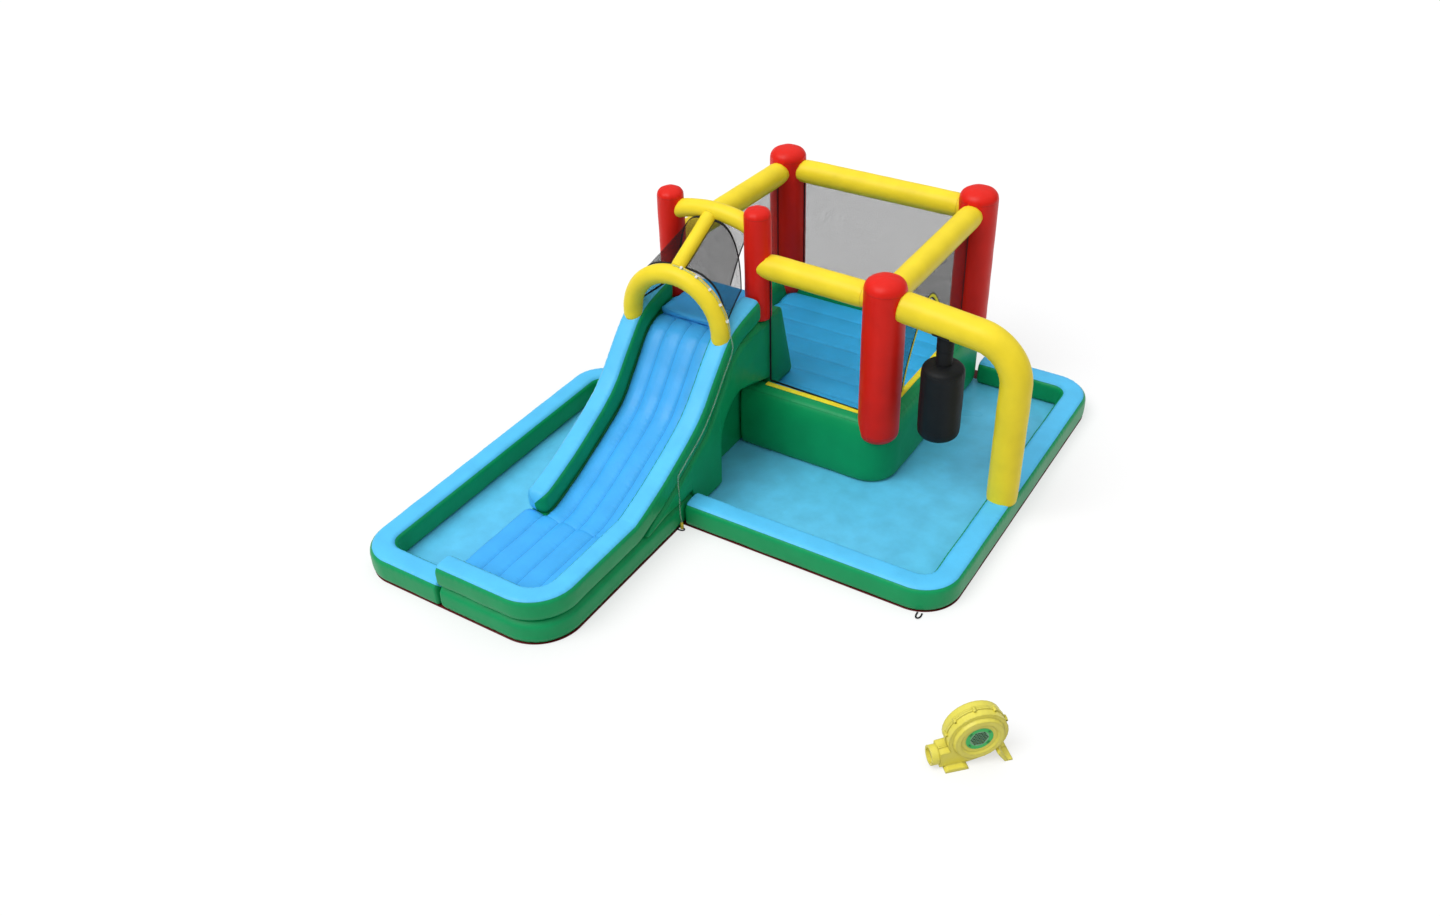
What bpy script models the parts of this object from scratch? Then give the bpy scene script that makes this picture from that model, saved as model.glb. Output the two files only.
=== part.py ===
"""Inflatable water slide with a bounce room, two pools, a punching bag and its blower.

Metres, +Z up. The origin is on the ground, in the middle of the inflatable's own footprint.
+X is to the right as seen from the front, and +Y is towards the back.
"""
import math

import bmesh
import bpy
from mathutils import Matrix, Vector

# Clearances and shared fabric sizes
GAP = 0.0003
OVERRUN = 0.05
SHEET_THICKNESS = 0.003
SHEET_MARGIN = 0.008
SKIN_THICKNESS = 0.004
NET_THICKNESS = 0.003
VINYL_ROUGHNESS = 0.45
PLASTIC_ROUGHNESS = 0.35
SECTION_EXPONENT = 3.5

# Pool walls
WALL_WIDTH = 0.21
WALL_HEIGHT = 0.21
POOL_CORNER_RADIUS = 0.2
CORNER_EASE = 0.01
LEFT_POOL_WIDTH = 0.62
RIGHT_CHANNEL = 0.79
FRONT_POOL_LENGTH = 0.915

# Slide lane
LANE_WIDTH = 0.99
LANE_CORNER_RADIUS = 0.26
POOL_SETBACK = 1.64
LOWER_TUBE_HEIGHT = 0.195
RAIL_WIDTH = 0.19
RAIL_HEIGHT = 0.2
RAIL_RISE = 0.17
RUNOUT_LENGTH = 1.0
SLIDE_FOOT = 1.08
MATTRESS_THICKNESS = 0.1
CHANNEL_DEPTH = 0.018
CROWN_SHARES = (0.0, 0.18, 0.5, 0.82)
NOSE_SHARES = ((0.0, 0.62), (0.35, 0.86), (1.0, 1.0))
SLIDE_CHANNELS = 4
RUNOUT_CHANNELS = 5
DECK_HEIGHT = 1.2
DECK_THICKNESS = 0.06
DECK_REACH = 0.21
CLIMB_REACH = 0.39
NOTCH_SIDE_HEIGHT = 0.3
NOTCH_HEIGHT = 0.7
NOTCH_REACH = 0.77
NOTCH_ARC_LENGTH = 0.34
LADDER_WIDTH = 0.42
LADDER_STRAP = 0.05
LADDER_THICKNESS = 0.006
LADDER_GAPS = 4

# Slide crest line from its foot to its top, as shares of the run and of the rise
CREST_SHARES = (
    (0.0, 0.0),
    (0.113, 0.074),
    (0.237, 0.167),
    (0.48, 0.403),
    (0.627, 0.681),
    (0.746, 0.887),
    (0.865, 0.959),
    (1.0, 1.0),
)

# Bounce room
HOUSE_WIDTH = 2.06
HOUSE_DEPTH = 1.995
HOUSE_SHIFT = 0.07
BASE_WIDTH = 0.21
BASE_HEIGHT = 0.57
BASE_CORNER_RADIUS = 0.15
FLOOR_HEIGHT = 0.44
FLOOR_CHANNELS = 7
STRIP_WIDTH = 0.05
STRIP_THICKNESS = 0.004
STRIP_SHIFT_SHARE = 0.4
COLUMN_RADIUS = 0.16
COLUMN_TOP = 1.79
COLUMN_DOME_SHARE = 0.6
COLUMN_ROUND_SHARE = 0.5
COLUMN_FOOT = 0.39
COLUMN_INSET = 0.145
SLIM_RADIUS = 0.105
SLIM_TOP = 2.06
SLIM_SHIFT = 0.02
BEAM_RADIUS = 0.1
BEAM_HEIGHT = 1.6
DOOR_WIDTH = 0.8
DOOR_HEIGHT = 1.22
DOOR_OFFSET = 0.43
LEFT_DOOR_OFFSET = 0.65

# Door edge from its foot to its top, as shares of half the width and of the height
DOOR_SHARES = (
    (1.0, 0.0),
    (0.97, 0.13),
    (0.86, 0.3),
    (0.71, 0.47),
    (0.53, 0.65),
    (0.36, 0.81),
    (0.17, 0.95),
)

# Tunnel over the slide top
TUNNEL_TUBE_RADIUS = 0.07
CANOPY_EXPONENT = 0.8
TUNNEL_END_HEIGHT = 1.82
TUNNEL_TOP_HEIGHT = 1.95
RIDGE_RADIUS = 0.05
SPRAY_TUBE_RADIUS = 0.075
SPRAY_SETBACK = 0.555
CANOPY_CLEARANCE = 0.0006

# Punching bag and its arch
ARCH_RADIUS = 0.1
ARCH_DROOP = 0.07
ARCH_BEND_RADIUS = 0.34
ARCH_BEND_DEG = 84.0
BAG_RADIUS = 0.145
BAG_LENGTH = 0.66
BAG_CORNER_RADIUS = 0.06
BAG_OFFSET = 0.49
NECK_RADIUS = 0.05
YOKE_LENGTH = 0.15
HANGER_THICKNESS = 0.006
HANGER_WIDTH = 0.11
LUG_THICKNESS = 0.012
LUG_WIDTH = 0.036
PIVOT_DROP = 0.03
PIN_RADIUS = 0.006
PIN_CLEARANCE = 0.0004
PIN_SIDES = 16
LINK_TOP_SHARE = 0.95
OVERLAP = 0.002

# Water hose, clips and ground fittings
HOSE_RADIUS = 0.006
HOSE_SIDES = 8
HOSE_STEPS = 2
HOSE_CLEARANCE = 0.0014
HOSE_SETBACK = 0.04
HOSE_RISE_SHARES = (0.15, 0.4, 0.7, 1.0)
HOSE_ARCH_SHARES = (0.06, 0.18, 0.3, 0.42, 0.54, 0.66, 0.78, 0.9, 1.0)
CREST_SIDE_DROP = 0.05
CLIP_LENGTH = 0.018
CLIP_RADIUS = 0.013
CLIP_SHARES = (0.18, 0.36, 0.54, 0.72, 0.9)
CONNECTOR_RADIUS = 0.014
CONNECTOR_LENGTH = 0.06
SLEEVE_RADIUS = 0.07
SLEEVE_LENGTH = 0.32
SLEEVE_SKIN = 0.006
SLEEVE_Y = 1.6

# Blower
BLOWER_X = 2.6
BLOWER_Y = -1.7
BLOWER_TURN_DEG = 45.0
FAN_RADIUS = 0.19
FAN_HALF_DEPTH = 0.06
FAN_CENTRE_HEIGHT = 0.225
FAN_WALL = 0.005
FACE_RADIUS = 0.166
FACE_STEP = 0.025
RECESS_RADIUS = 0.125
RECESS_DEPTH = 0.013
INTAKE_RADIUS = 0.0885
DUCT_REACH = 0.235
DUCT_TOP = 0.095
DUCT_BOTTOM = 0.205
OUTLET_DROP = 0.15
OUTLET_RADIUS = 0.05
OUTLET_RING_RADIUS = 0.064
OUTLET_RING_LENGTH = 0.05
FLANGE_WIDTH = 0.006
FLANGE_THICKNESS = 0.012
BOSS_RADIUS = 0.011
BOSS_REACH_DEG = 60.0
SCROLL_START_DEG = -80.0
SCROLL_END_DEG = 207.0
FLANGE_END_DEG = 205.0
BOSS_ANGLES_DEG = (-62.0, -22.0, 18.0, 58.0, 98.0, 138.0, 172.0)
GRILLE_CELL_RADIUS = 0.0085
GRILLE_BAR = 0.0022
GRILLE_RINGS = 3
OUTLET_CELL_RADIUS = 0.0095
OUTLET_RINGS = 2
IMPELLER_RADIUS = 0.115
IMPELLER_DEPTH = 0.06
IMPELLER_CLEARANCE = 0.006
IMPELLER_BLADES = 18
BLADE_SHARE = 0.3
BLADE_LENGTH = 0.02
HUB_RADIUS = 0.022
SHAFT_RADIUS = 0.006
SHAFT_CLEARANCE = 0.0004
MOTOR_RADIUS = 0.062
MOTOR_LENGTH = 0.09
FOOT_DEPTH = 0.2
FOOT_OUTER_SHARE = 1.1
FOOT_INNER_SHARE = 0.32
FOOT_NECK_SHARE = 0.45
LEG_INNER_SHARE = 0.92
LEG_OUTER_SHARE = 1.18
FOOT_THICKNESS = 0.01
LEG_TOP_DEG = -43.0
LEG_LOW_DEG = -50.0
SWITCH_PLACE = 0.1
SWITCH_WIDTH = 0.03
SWITCH_HEIGHT = 0.046
SWITCH_DEPTH = 0.014
ROCKER_MARGIN = 0.004
ROCKER_PIN = 0.001

# Facet counts
TUBE_SIDES = 16
COLUMN_SIDES = 24
SECTION_POINTS = 14
ARC_STEPS = 5
CANOPY_STEPS = 7
ARCH_BEND_STEPS = 7
BOSS_STEPS = 3
ROUND_STEPS = 3
BORE_SIDES = 32
SPLINE_STEPS = 3

# Plan places, worked out from the sizes above
LANE_OFFSET = WALL_WIDTH + LEFT_POOL_WIDTH
TOTAL_WIDTH = LANE_OFFSET + HOUSE_SHIFT + HOUSE_WIDTH + RIGHT_CHANNEL + WALL_WIDTH
TOTAL_DEPTH = POOL_SETBACK + WALL_WIDTH + FRONT_POOL_LENGTH + HOUSE_DEPTH
LEFT_X = -TOTAL_WIDTH / 2
RIGHT_X = TOTAL_WIDTH / 2
FRONT_Y = -TOTAL_DEPTH / 2
BACK_Y = TOTAL_DEPTH / 2
LANE_LEFT_X = LEFT_X + LANE_OFFSET
LANE_RIGHT_X = LANE_LEFT_X + LANE_WIDTH
LANE_MID_X = (LANE_LEFT_X + LANE_RIGHT_X) / 2
INNER_LEFT_X = LANE_LEFT_X + RAIL_WIDTH
INNER_RIGHT_X = LANE_RIGHT_X - RAIL_WIDTH
POOL_FRONT_Y = FRONT_Y + POOL_SETBACK
POOL_INNER_Y = POOL_FRONT_Y + WALL_WIDTH
HOUSE_LEFT_X = LANE_LEFT_X + HOUSE_SHIFT
HOUSE_RIGHT_X = HOUSE_LEFT_X + HOUSE_WIDTH
HOUSE_FRONT_Y = BACK_Y - HOUSE_DEPTH
BASE_INNER_Y = HOUSE_FRONT_Y + BASE_WIDTH
GROUND_Z = SHEET_THICKNESS + GAP
RUNOUT_END_Y = FRONT_Y + RUNOUT_LENGTH
CREST_LOW = GROUND_Z + LOWER_TUBE_HEIGHT + GAP + RAIL_HEIGHT
CREST_TOP = DECK_HEIGHT + RAIL_RISE
PANEL_TOP = DECK_HEIGHT - DECK_THICKNESS
SLIM_Y = BASE_INNER_Y - DECK_REACH / 10
CREST_END_Y = SLIM_Y - SLIM_RADIUS
SLIDE_FOOT_Y = FRONT_Y + SLIDE_FOOT
DECK_BACK_Y = BASE_INNER_Y + DECK_REACH
COLUMN_LEFT_X = HOUSE_LEFT_X + COLUMN_INSET
COLUMN_RIGHT_X = HOUSE_RIGHT_X - COLUMN_INSET
COLUMN_FRONT_Y = HOUSE_FRONT_Y + COLUMN_INSET
COLUMN_BACK_Y = BACK_Y - COLUMN_INSET
SLIM_LEFT = Vector((LANE_LEFT_X + RAIL_WIDTH / 2 + SLIM_SHIFT, SLIM_Y))
SLIM_RIGHT = Vector((LANE_RIGHT_X - RAIL_WIDTH / 2, SLIM_Y))
FRONT_RIGHT = Vector((COLUMN_RIGHT_X, COLUMN_FRONT_Y))
BACK_LEFT = Vector((COLUMN_LEFT_X, COLUMN_BACK_Y))
BACK_RIGHT = Vector((COLUMN_RIGHT_X, COLUMN_BACK_Y))

RED = (0.62, 0.02, 0.01)
YELLOW = (0.93, 0.72, 0.04)
GREEN = (0.005, 0.24, 0.075)
SKY_BLUE = (0.08, 0.5, 0.9)
SLIDE_BLUE = (0.04, 0.32, 0.85)
POOL_BLUE = (0.1, 0.55, 0.78)
NET_GREY = (0.05, 0.05, 0.05)
BLACK = (0.012, 0.012, 0.014)
DARK_RED = (0.25, 0.01, 0.01)
WHITE = (0.85, 0.85, 0.85)
BLOWER_YELLOW = (0.78, 0.72, 0.09)
BLOWER_GREEN = (0.015, 0.4, 0.12)


def clear_scene():
    for old in list(bpy.data.objects):
        bpy.data.objects.remove(old, do_unlink=True)


def new_collection(name):
    collection = bpy.data.collections.new(name)
    bpy.context.scene.collection.children.link(collection)
    return collection


def finish_material(name, colour, roughness, metallic=0.0):
    found = bpy.data.materials.get(name)
    if found:
        return found
    made = bpy.data.materials.new(name)
    made.use_nodes = True
    shader = made.node_tree.nodes["Principled BSDF"]
    shader.inputs["Base Color"].default_value = (*colour, 1.0)
    shader.inputs["Roughness"].default_value = roughness
    shader.inputs["Metallic"].default_value = metallic
    return made


def vinyl(name, colour):
    return finish_material(name, colour, VINYL_ROUGHNESS)


def plastic(name, colour):
    return finish_material(name, colour, PLASTIC_ROUGHNESS)


def add_part(name, mesh, material):
    part = bpy.data.objects.new(name, mesh)
    PARTS.objects.link(part)
    mesh.materials.clear()
    mesh.materials.append(material)
    return part


def add_cutter(name, mesh):
    cutter = bpy.data.objects.new(name, mesh)
    CUTTERS.objects.link(cutter)
    cutter.hide_render = True
    cutter.display_type = "WIRE"
    return cutter


def apply_boolean(part, cutter, operation):
    modifier = part.modifiers.new(operation.lower() + "_" + cutter.name, "BOOLEAN")
    modifier.operation = operation
    modifier.solver = "EXACT"
    modifier.object = cutter


def cut(part, *cutters):
    for cutter in cutters:
        apply_boolean(part, cutter, "DIFFERENCE")


def join(part, *pieces):
    for piece in pieces:
        apply_boolean(part, piece, "UNION")


def mesh_from_curve(name, curve, matrix=None):
    """Turn a curve into a closed mesh with its caps welded on."""
    holder = bpy.data.objects.new(name + "_curve", curve)
    bpy.context.scene.collection.objects.link(holder)
    depsgraph = bpy.context.evaluated_depsgraph_get()
    mesh = bpy.data.meshes.new_from_object(holder.evaluated_get(depsgraph))
    mesh.name = name
    bpy.data.objects.remove(holder, do_unlink=True)
    work = bmesh.new()
    work.from_mesh(mesh)
    bmesh.ops.remove_doubles(work, verts=work.verts, dist=GAP / 10)
    if matrix is not None:
        bmesh.ops.transform(work, matrix=matrix, verts=work.verts)
    bmesh.ops.recalc_face_normals(work, faces=work.faces)
    work.to_mesh(mesh)
    work.free()
    return mesh


def poly_spline(curve, points, cyclic):
    spline = curve.splines.new("POLY")
    spline.points.add(len(points) - 1)
    for point, place in zip(spline.points, points):
        x, y, *rest = place
        point.co = (x, y, rest[0] if rest else 0.0, 1.0)
    spline.use_cyclic_u = cyclic
    return spline


PLAN = Matrix.Identity(4)
SIDE = Matrix(((0, 0, 1, 0), (1, 0, 0, 0), (0, 1, 0, 0), (0, 0, 0, 1)))
FRONT = Matrix(((1, 0, 0, 0), (0, 0, -1, 0), (0, 1, 0, 0), (0, 0, 0, 1)))


def prism_mesh(name, loops, thickness, facing=PLAN, centre=0.0):
    """A flat outline, with any holes, as a plate centred on the named plane.

    PLAN takes (x, y) points and grows along Z, SIDE takes (y, z) points and grows along X,
    FRONT takes (x, z) points and grows along Y.
    """
    curve = bpy.data.curves.new(name, "CURVE")
    curve.dimensions = "2D"
    curve.fill_mode = "BOTH"
    curve.extrude = thickness / 2
    for loop in loops:
        poly_spline(curve, loop, True)
    matrix = facing @ Matrix.Translation((0, 0, -centre if facing is FRONT else centre))
    return mesh_from_curve(name, curve, matrix)


def tube_mesh(name, points, radius, sides, cyclic=False):
    """A round tube along a line of points."""
    curve = bpy.data.curves.new(name, "CURVE")
    curve.dimensions = "3D"
    curve.bevel_depth = radius
    curve.bevel_resolution = sides // 2 - 2
    curve.use_fill_caps = not cyclic
    poly_spline(curve, points, cyclic)
    return mesh_from_curve(name, curve)


def sweep_mesh(name, points, section, capped=True):
    """A closed section carried along a level line of points, kept upright."""
    outline = bpy.data.curves.new(name + "_section", "CURVE")
    outline.dimensions = "2D"
    outline.fill_mode = "NONE"
    poly_spline(outline, section, True)
    guide = bpy.data.objects.new(name + "_guide", outline)
    bpy.context.scene.collection.objects.link(guide)
    curve = bpy.data.curves.new(name, "CURVE")
    curve.dimensions = "3D"
    curve.twist_mode = "Z_UP"
    curve.bevel_mode = "OBJECT"
    curve.bevel_object = guide
    curve.use_fill_caps = capped
    poly_spline(curve, points, False)
    mesh = mesh_from_curve(name, curve)
    bpy.data.objects.remove(guide, do_unlink=True)
    return mesh


def loft_mesh(name, rings):
    """A solid through a row of like rings of points, closed at both ends."""
    work = bmesh.new()
    rows = [[work.verts.new(point) for point in ring] for ring in rings]
    count = len(rows[0])
    for row, following in zip(rows, rows[1:]):
        for i in range(count):
            j = (i + 1) % count
            work.faces.new((row[i], row[j], following[j], following[i]))
    work.faces.new(rows[0])
    work.faces.new(rows[-1])
    bmesh.ops.recalc_face_normals(work, faces=work.faces)
    mesh = bpy.data.meshes.new(name)
    work.to_mesh(mesh)
    work.free()
    return mesh


def turned_part(name, profile, steps, material, place, matrix=None, ring=False):
    """A profile of (radius, height) points from top to bottom, turned round Z by Screw.

    A ring's profile goes down its outer side and back up its inner side.
    """
    mesh = bpy.data.meshes.new(name)
    edges = [(i, i + 1) for i in range(len(profile) - 1)]
    if ring:
        edges.append((len(profile) - 1, 0))
    mesh.from_pydata([(radius, 0.0, height) for radius, height in profile], edges, [])
    part = add_part(name, mesh, material)
    screw = part.modifiers.new("turn", "SCREW")
    screw.steps = steps
    screw.render_steps = steps
    screw.use_merge_vertices = True
    screw.merge_threshold = GAP / 10
    part.matrix_basis = Matrix.Translation(place) @ (matrix or Matrix.Identity(4))
    return part


def cylinder_mesh(name, radius, length, sides, matrix=None, tip_radius=None):
    """A cylinder or cone along local Z, centred on its origin."""
    work = bmesh.new()
    bmesh.ops.create_cone(
        work, cap_ends=True, segments=sides, radius1=radius,
        radius2=radius if tip_radius is None else tip_radius, depth=length)
    if matrix is not None:
        bmesh.ops.transform(work, matrix=matrix, verts=work.verts)
    mesh = bpy.data.meshes.new(name)
    work.to_mesh(mesh)
    work.free()
    return mesh


def box_mesh(name, low, high):
    work = bmesh.new()
    bmesh.ops.create_cube(work, size=1.0)
    size = Vector(high) - Vector(low)
    middle = (Vector(high) + Vector(low)) / 2
    bmesh.ops.scale(work, vec=size, verts=work.verts)
    bmesh.ops.translate(work, vec=middle, verts=work.verts)
    mesh = bpy.data.meshes.new(name)
    work.to_mesh(mesh)
    work.free()
    return mesh


def arc(centre, radius, start_deg, end_deg, steps=ARC_STEPS):
    cx, cy = centre
    rx, ry = radius if isinstance(radius, tuple) else (radius, radius)
    angles = [math.radians(start_deg + (end_deg - start_deg) * i / steps) for i in range(steps + 1)]
    return [(cx + rx * math.cos(a), cy + ry * math.sin(a)) for a in angles]


def rounded_line(corners, closed=False):
    """Points of a line whose corners (x, y, radius) are rounded by arcs."""
    count = len(corners)
    points = []
    for i, (x, y, radius) in enumerate(corners):
        here = Vector((x, y))
        if radius == 0 or (not closed and i in (0, count - 1)):
            points.append((x, y))
            continue
        before = (Vector(corners[i - 1][:2]) - here).normalized()
        after = (Vector(corners[(i + 1) % count][:2]) - here).normalized()
        half = before.angle(after) / 2
        reach = radius / math.tan(half)
        middle = here + (before + after).normalized() * radius / math.sin(half)
        start = here + before * reach - middle
        turn = start.angle_signed(here + after * reach - middle)
        for step in range(ARC_STEPS + 1):
            spoke = start.copy()
            spoke.rotate(Matrix.Rotation(-turn * step / ARC_STEPS, 2))
            points.append(tuple(middle + spoke))
    return points


def bulged_section(width, height, foot=0.0):
    """A soft rectangle with a flat side on each face, standing on the given height."""
    squareness = 2.0 / SECTION_EXPONENT
    raw = []
    for i in range(SECTION_POINTS):
        angle = 2 * math.pi * (i + 0.5) / SECTION_POINTS
        c, s = math.cos(angle), math.sin(angle)
        raw.append((math.copysign(abs(c) ** squareness, c), math.copysign(abs(s) ** squareness, s)))
    reach_x = max(x for x, _ in raw)
    reach_z = max(z for _, z in raw)
    middle = foot + height / 2
    return [(x / reach_x * width / 2, middle + z / reach_z * height / 2) for x, z in raw]


def at_height(points, z):
    return [(x, y, z) for x, y in points]


def spline_through(points, steps):
    """Points of a smooth line through the given ones."""
    line = []
    last = len(points) - 1
    for i in range(last):
        before = Vector(points[max(i - 1, 0)])
        start = Vector(points[i])
        end = Vector(points[i + 1])
        after = Vector(points[min(i + 2, last)])
        for step in range(steps):
            t = step / steps
            line.append(
                0.5 * (2 * start + (end - before) * t
                       + (2 * before - 5 * start + 4 * end - after) * t ** 2
                       + (3 * start - before - 3 * end + after) * t ** 3))
    line.append(Vector(points[last]))
    return line


def crest_stations():
    """Rows of (y, crest height, stretch of an upright size on the slope)."""
    run = CREST_END_Y - SLIDE_FOOT_Y
    rise = CREST_TOP - CREST_LOW
    line = spline_through(
        [(SLIDE_FOOT_Y + run * along, CREST_LOW + rise * up) for along, up in CREST_SHARES], SPLINE_STEPS)
    rows = []
    for i, point in enumerate(line):
        ahead = line[min(i + 1, len(line) - 1)]
        behind = line[max(i - 1, 0)]
        slope = (ahead - behind).normalized()
        stretch = 1.0 if i in (0, len(line) - 1) else 1.0 / slope.x
        rows.append((point.x, point.y, stretch))
    return rows


def rows_between(low_y, high_y):
    """Crest rows from one place to another, with a row at each end."""
    inside = [row for row in CREST if low_y + GAP < row[0] < high_y - GAP]
    return [crest_at(low_y)] + inside + [crest_at(high_y)]


def crest_at(y):
    if y <= CREST[0][0]:
        return (y, CREST[0][1], 1.0)
    for near, far in zip(CREST, CREST[1:]):
        if y <= far[0]:
            share = (y - near[0]) / (far[0] - near[0])
            return (y, near[1] + (far[1] - near[1]) * share, near[2] + (far[2] - near[2]) * share)
    return (y, CREST[-1][1], 1.0)


def rail_bottom(row):
    return row[1] - RAIL_HEIGHT * row[2]


def slide_surface(row):
    return row[1] - RAIL_RISE * row[2]


def mattress_bottom(row):
    return slide_surface(row) - MATTRESS_THICKNESS * row[2]


def footprint(grow):
    """Outline of the whole inflatable on the ground, grown outwards."""
    outer = POOL_CORNER_RADIUS + WALL_WIDTH / 2 + grow
    lane = LANE_CORNER_RADIUS + RAIL_WIDTH / 2 + grow
    house = BASE_CORNER_RADIUS + BASE_WIDTH / 2 + grow
    return rounded_line([
        (LEFT_X - grow, FRONT_Y - grow, outer),
        (LANE_RIGHT_X + grow, FRONT_Y - grow, lane),
        (LANE_RIGHT_X + grow, POOL_FRONT_Y - grow, 0.0),
        (RIGHT_X + grow, POOL_FRONT_Y - grow, outer),
        (RIGHT_X + grow, BACK_Y + grow, outer),
        (HOUSE_LEFT_X - grow, BACK_Y + grow, house),
        (HOUSE_LEFT_X - grow, BASE_INNER_Y + grow, 0.0),
        (LEFT_X - grow, BASE_INNER_Y + grow, outer),
    ], closed=True)


def make_ground_sheet():
    mesh = prism_mesh("ground_sheet", [footprint(SHEET_MARGIN)], SHEET_THICKNESS, PLAN, SHEET_THICKNESS / 2)
    add_part("ground_sheet", mesh, vinyl("base_vinyl", DARK_RED))


def make_pool_floors():
    level = GROUND_Z + SHEET_THICKNESS / 2
    corner = POOL_CORNER_RADIUS - WALL_WIDTH / 2 + CORNER_EASE
    left = rounded_line([
        (LEFT_X + WALL_WIDTH, FRONT_Y + WALL_WIDTH, corner),
        (LANE_LEFT_X - GAP, FRONT_Y + WALL_WIDTH, 0.0),
        (LANE_LEFT_X - GAP, BASE_INNER_Y - WALL_WIDTH, 0.0),
        (LEFT_X + WALL_WIDTH, BASE_INNER_Y - WALL_WIDTH, corner),
    ], closed=True)
    floor = vinyl("pool_vinyl", POOL_BLUE)
    add_part("left_pool_floor", prism_mesh("left_pool_floor", [left], SHEET_THICKNESS, PLAN, level), floor)
    right = rounded_line([
        (LANE_RIGHT_X + GAP, POOL_INNER_Y, 0.0),
        (RIGHT_X - WALL_WIDTH, POOL_INNER_Y, corner),
        (RIGHT_X - WALL_WIDTH, BACK_Y - WALL_WIDTH, corner),
        (HOUSE_RIGHT_X + GAP, BACK_Y - WALL_WIDTH, 0.0),
        (HOUSE_RIGHT_X + GAP, HOUSE_FRONT_Y - GAP, 0.0),
        (LANE_RIGHT_X + GAP, HOUSE_FRONT_Y - GAP, 0.0),
    ], closed=True)
    mesh = prism_mesh("right_pool_floor", [right], SHEET_THICKNESS, PLAN, level)
    add_part("right_pool_floor", mesh, floor)


def make_pool_walls():
    half = WALL_WIDTH / 2
    section = bulged_section(WALL_WIDTH, WALL_HEIGHT, GROUND_Z)
    left = rounded_line([
        (LANE_LEFT_X - GAP, FRONT_Y + half, 0.0),
        (LEFT_X + half, FRONT_Y + half, POOL_CORNER_RADIUS),
        (LEFT_X + half, BASE_INNER_Y - half, POOL_CORNER_RADIUS),
        (LANE_LEFT_X - GAP, BASE_INNER_Y - half, 0.0),
    ])
    wall = vinyl("wall_vinyl", SKY_BLUE)
    add_part("left_pool_wall", sweep_mesh("left_pool_wall", at_height(left, 0.0), section), wall)
    right = rounded_line([
        (LANE_RIGHT_X + GAP, POOL_FRONT_Y + half, 0.0),
        (RIGHT_X - half, POOL_FRONT_Y + half, POOL_CORNER_RADIUS),
        (RIGHT_X - half, BACK_Y - half, POOL_CORNER_RADIUS),
        (HOUSE_RIGHT_X + GAP, BACK_Y - half, 0.0),
    ])
    add_part("right_pool_wall", sweep_mesh("right_pool_wall", at_height(right, 0.0), section), wall)


def lane_edge_line(end_y):
    """Plan line under the bumper and the right rail, from the bumper's open end."""
    half = RAIL_WIDTH / 2
    return rounded_line([
        (LANE_LEFT_X, FRONT_Y + half, 0.0),
        (LANE_RIGHT_X - half, FRONT_Y + half, LANE_CORNER_RADIUS),
        (LANE_RIGHT_X - half, end_y, 0.0),
    ])


def make_lane_lower_tube():
    section = bulged_section(RAIL_WIDTH, LOWER_TUBE_HEIGHT, GROUND_Z)
    line = lane_edge_line(POOL_INNER_Y)
    mesh = sweep_mesh("lane_lower_tube", at_height(line, 0.0), section)
    add_part("lane_lower_tube", mesh, vinyl("side_vinyl", GREEN))


def rail_ring(x, row, grow=0.0):
    """One upright ring of a rail that runs along Y."""
    bottom = rail_bottom(row) + GAP
    section = bulged_section(RAIL_WIDTH + 2 * grow, row[1] - bottom + grow, bottom)
    return [(x + across, row[0], z) for across, z in section]


def right_rail_rings(grow=0.0):
    half = RAIL_WIDTH / 2
    line = lane_edge_line(SLIDE_FOOT_Y)
    bottom = CREST_LOW - RAIL_HEIGHT + GAP
    section = bulged_section(RAIL_WIDTH + 2 * grow, CREST_LOW - bottom + grow, bottom)
    rings = []
    for i, place in enumerate(line[:-1]):
        here = Vector(place)
        behind = Vector(line[i - 1]) if i else here
        ahead = Vector(line[i + 1])
        along = ((here - behind).normalized() + (ahead - here).normalized()).normalized()
        across = Vector((along.y, -along.x))
        rings.append([(*(here + across * offset), z) for offset, z in section])
    for row in rows_between(SLIDE_FOOT_Y, CREST_END_Y - GAP):
        rings.append(rail_ring(LANE_RIGHT_X - half, row, grow))
    return rings


def left_rail_rings(grow=0.0):
    """The left rail, with a rounded nose at the run-out."""
    x = LANE_LEFT_X + RAIL_WIDTH / 2
    rows = rows_between(RUNOUT_END_Y + GAP, CREST_END_Y - GAP)
    nose_length = RAIL_WIDTH / 3
    rings = []
    for along, size in NOSE_SHARES:
        row = crest_at(rows[0][0] + nose_length * along)
        bottom = rail_bottom(row) + GAP
        height = (row[1] - bottom) * size + grow
        section = bulged_section(RAIL_WIDTH * size + 2 * grow, height, bottom)
        rings.append([(x + across, row[0], z) for across, z in section])
    for row in rows[1:]:
        if row[0] > rows[0][0] + nose_length + GAP:
            rings.append(rail_ring(x, row, grow))
    return rings


def make_rails():
    rail = vinyl("wall_vinyl", SKY_BLUE)
    add_part("right_rail", loft_mesh("right_rail", right_rail_rings()), rail)
    add_part("left_rail", loft_mesh("left_rail", left_rail_rings()), rail)


def channel_ring(low, high, tops, bottom, count):
    """Points of a padded section: rounded channels on top, flat underneath.

    low and high are the section's two sides, tops(share) gives its crown height there.
    """
    points = []
    pitch = (high - low) / count
    for i in range(count):
        for share in CROWN_SHARES:
            dip = 1.0 - math.sqrt(math.sin(math.pi * share))
            points.append((low + pitch * (i + share), tops - CHANNEL_DEPTH * dip))
    points.append((high, tops - CHANNEL_DEPTH))
    points.append((high, bottom))
    points.append((low, bottom))
    return points


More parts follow.
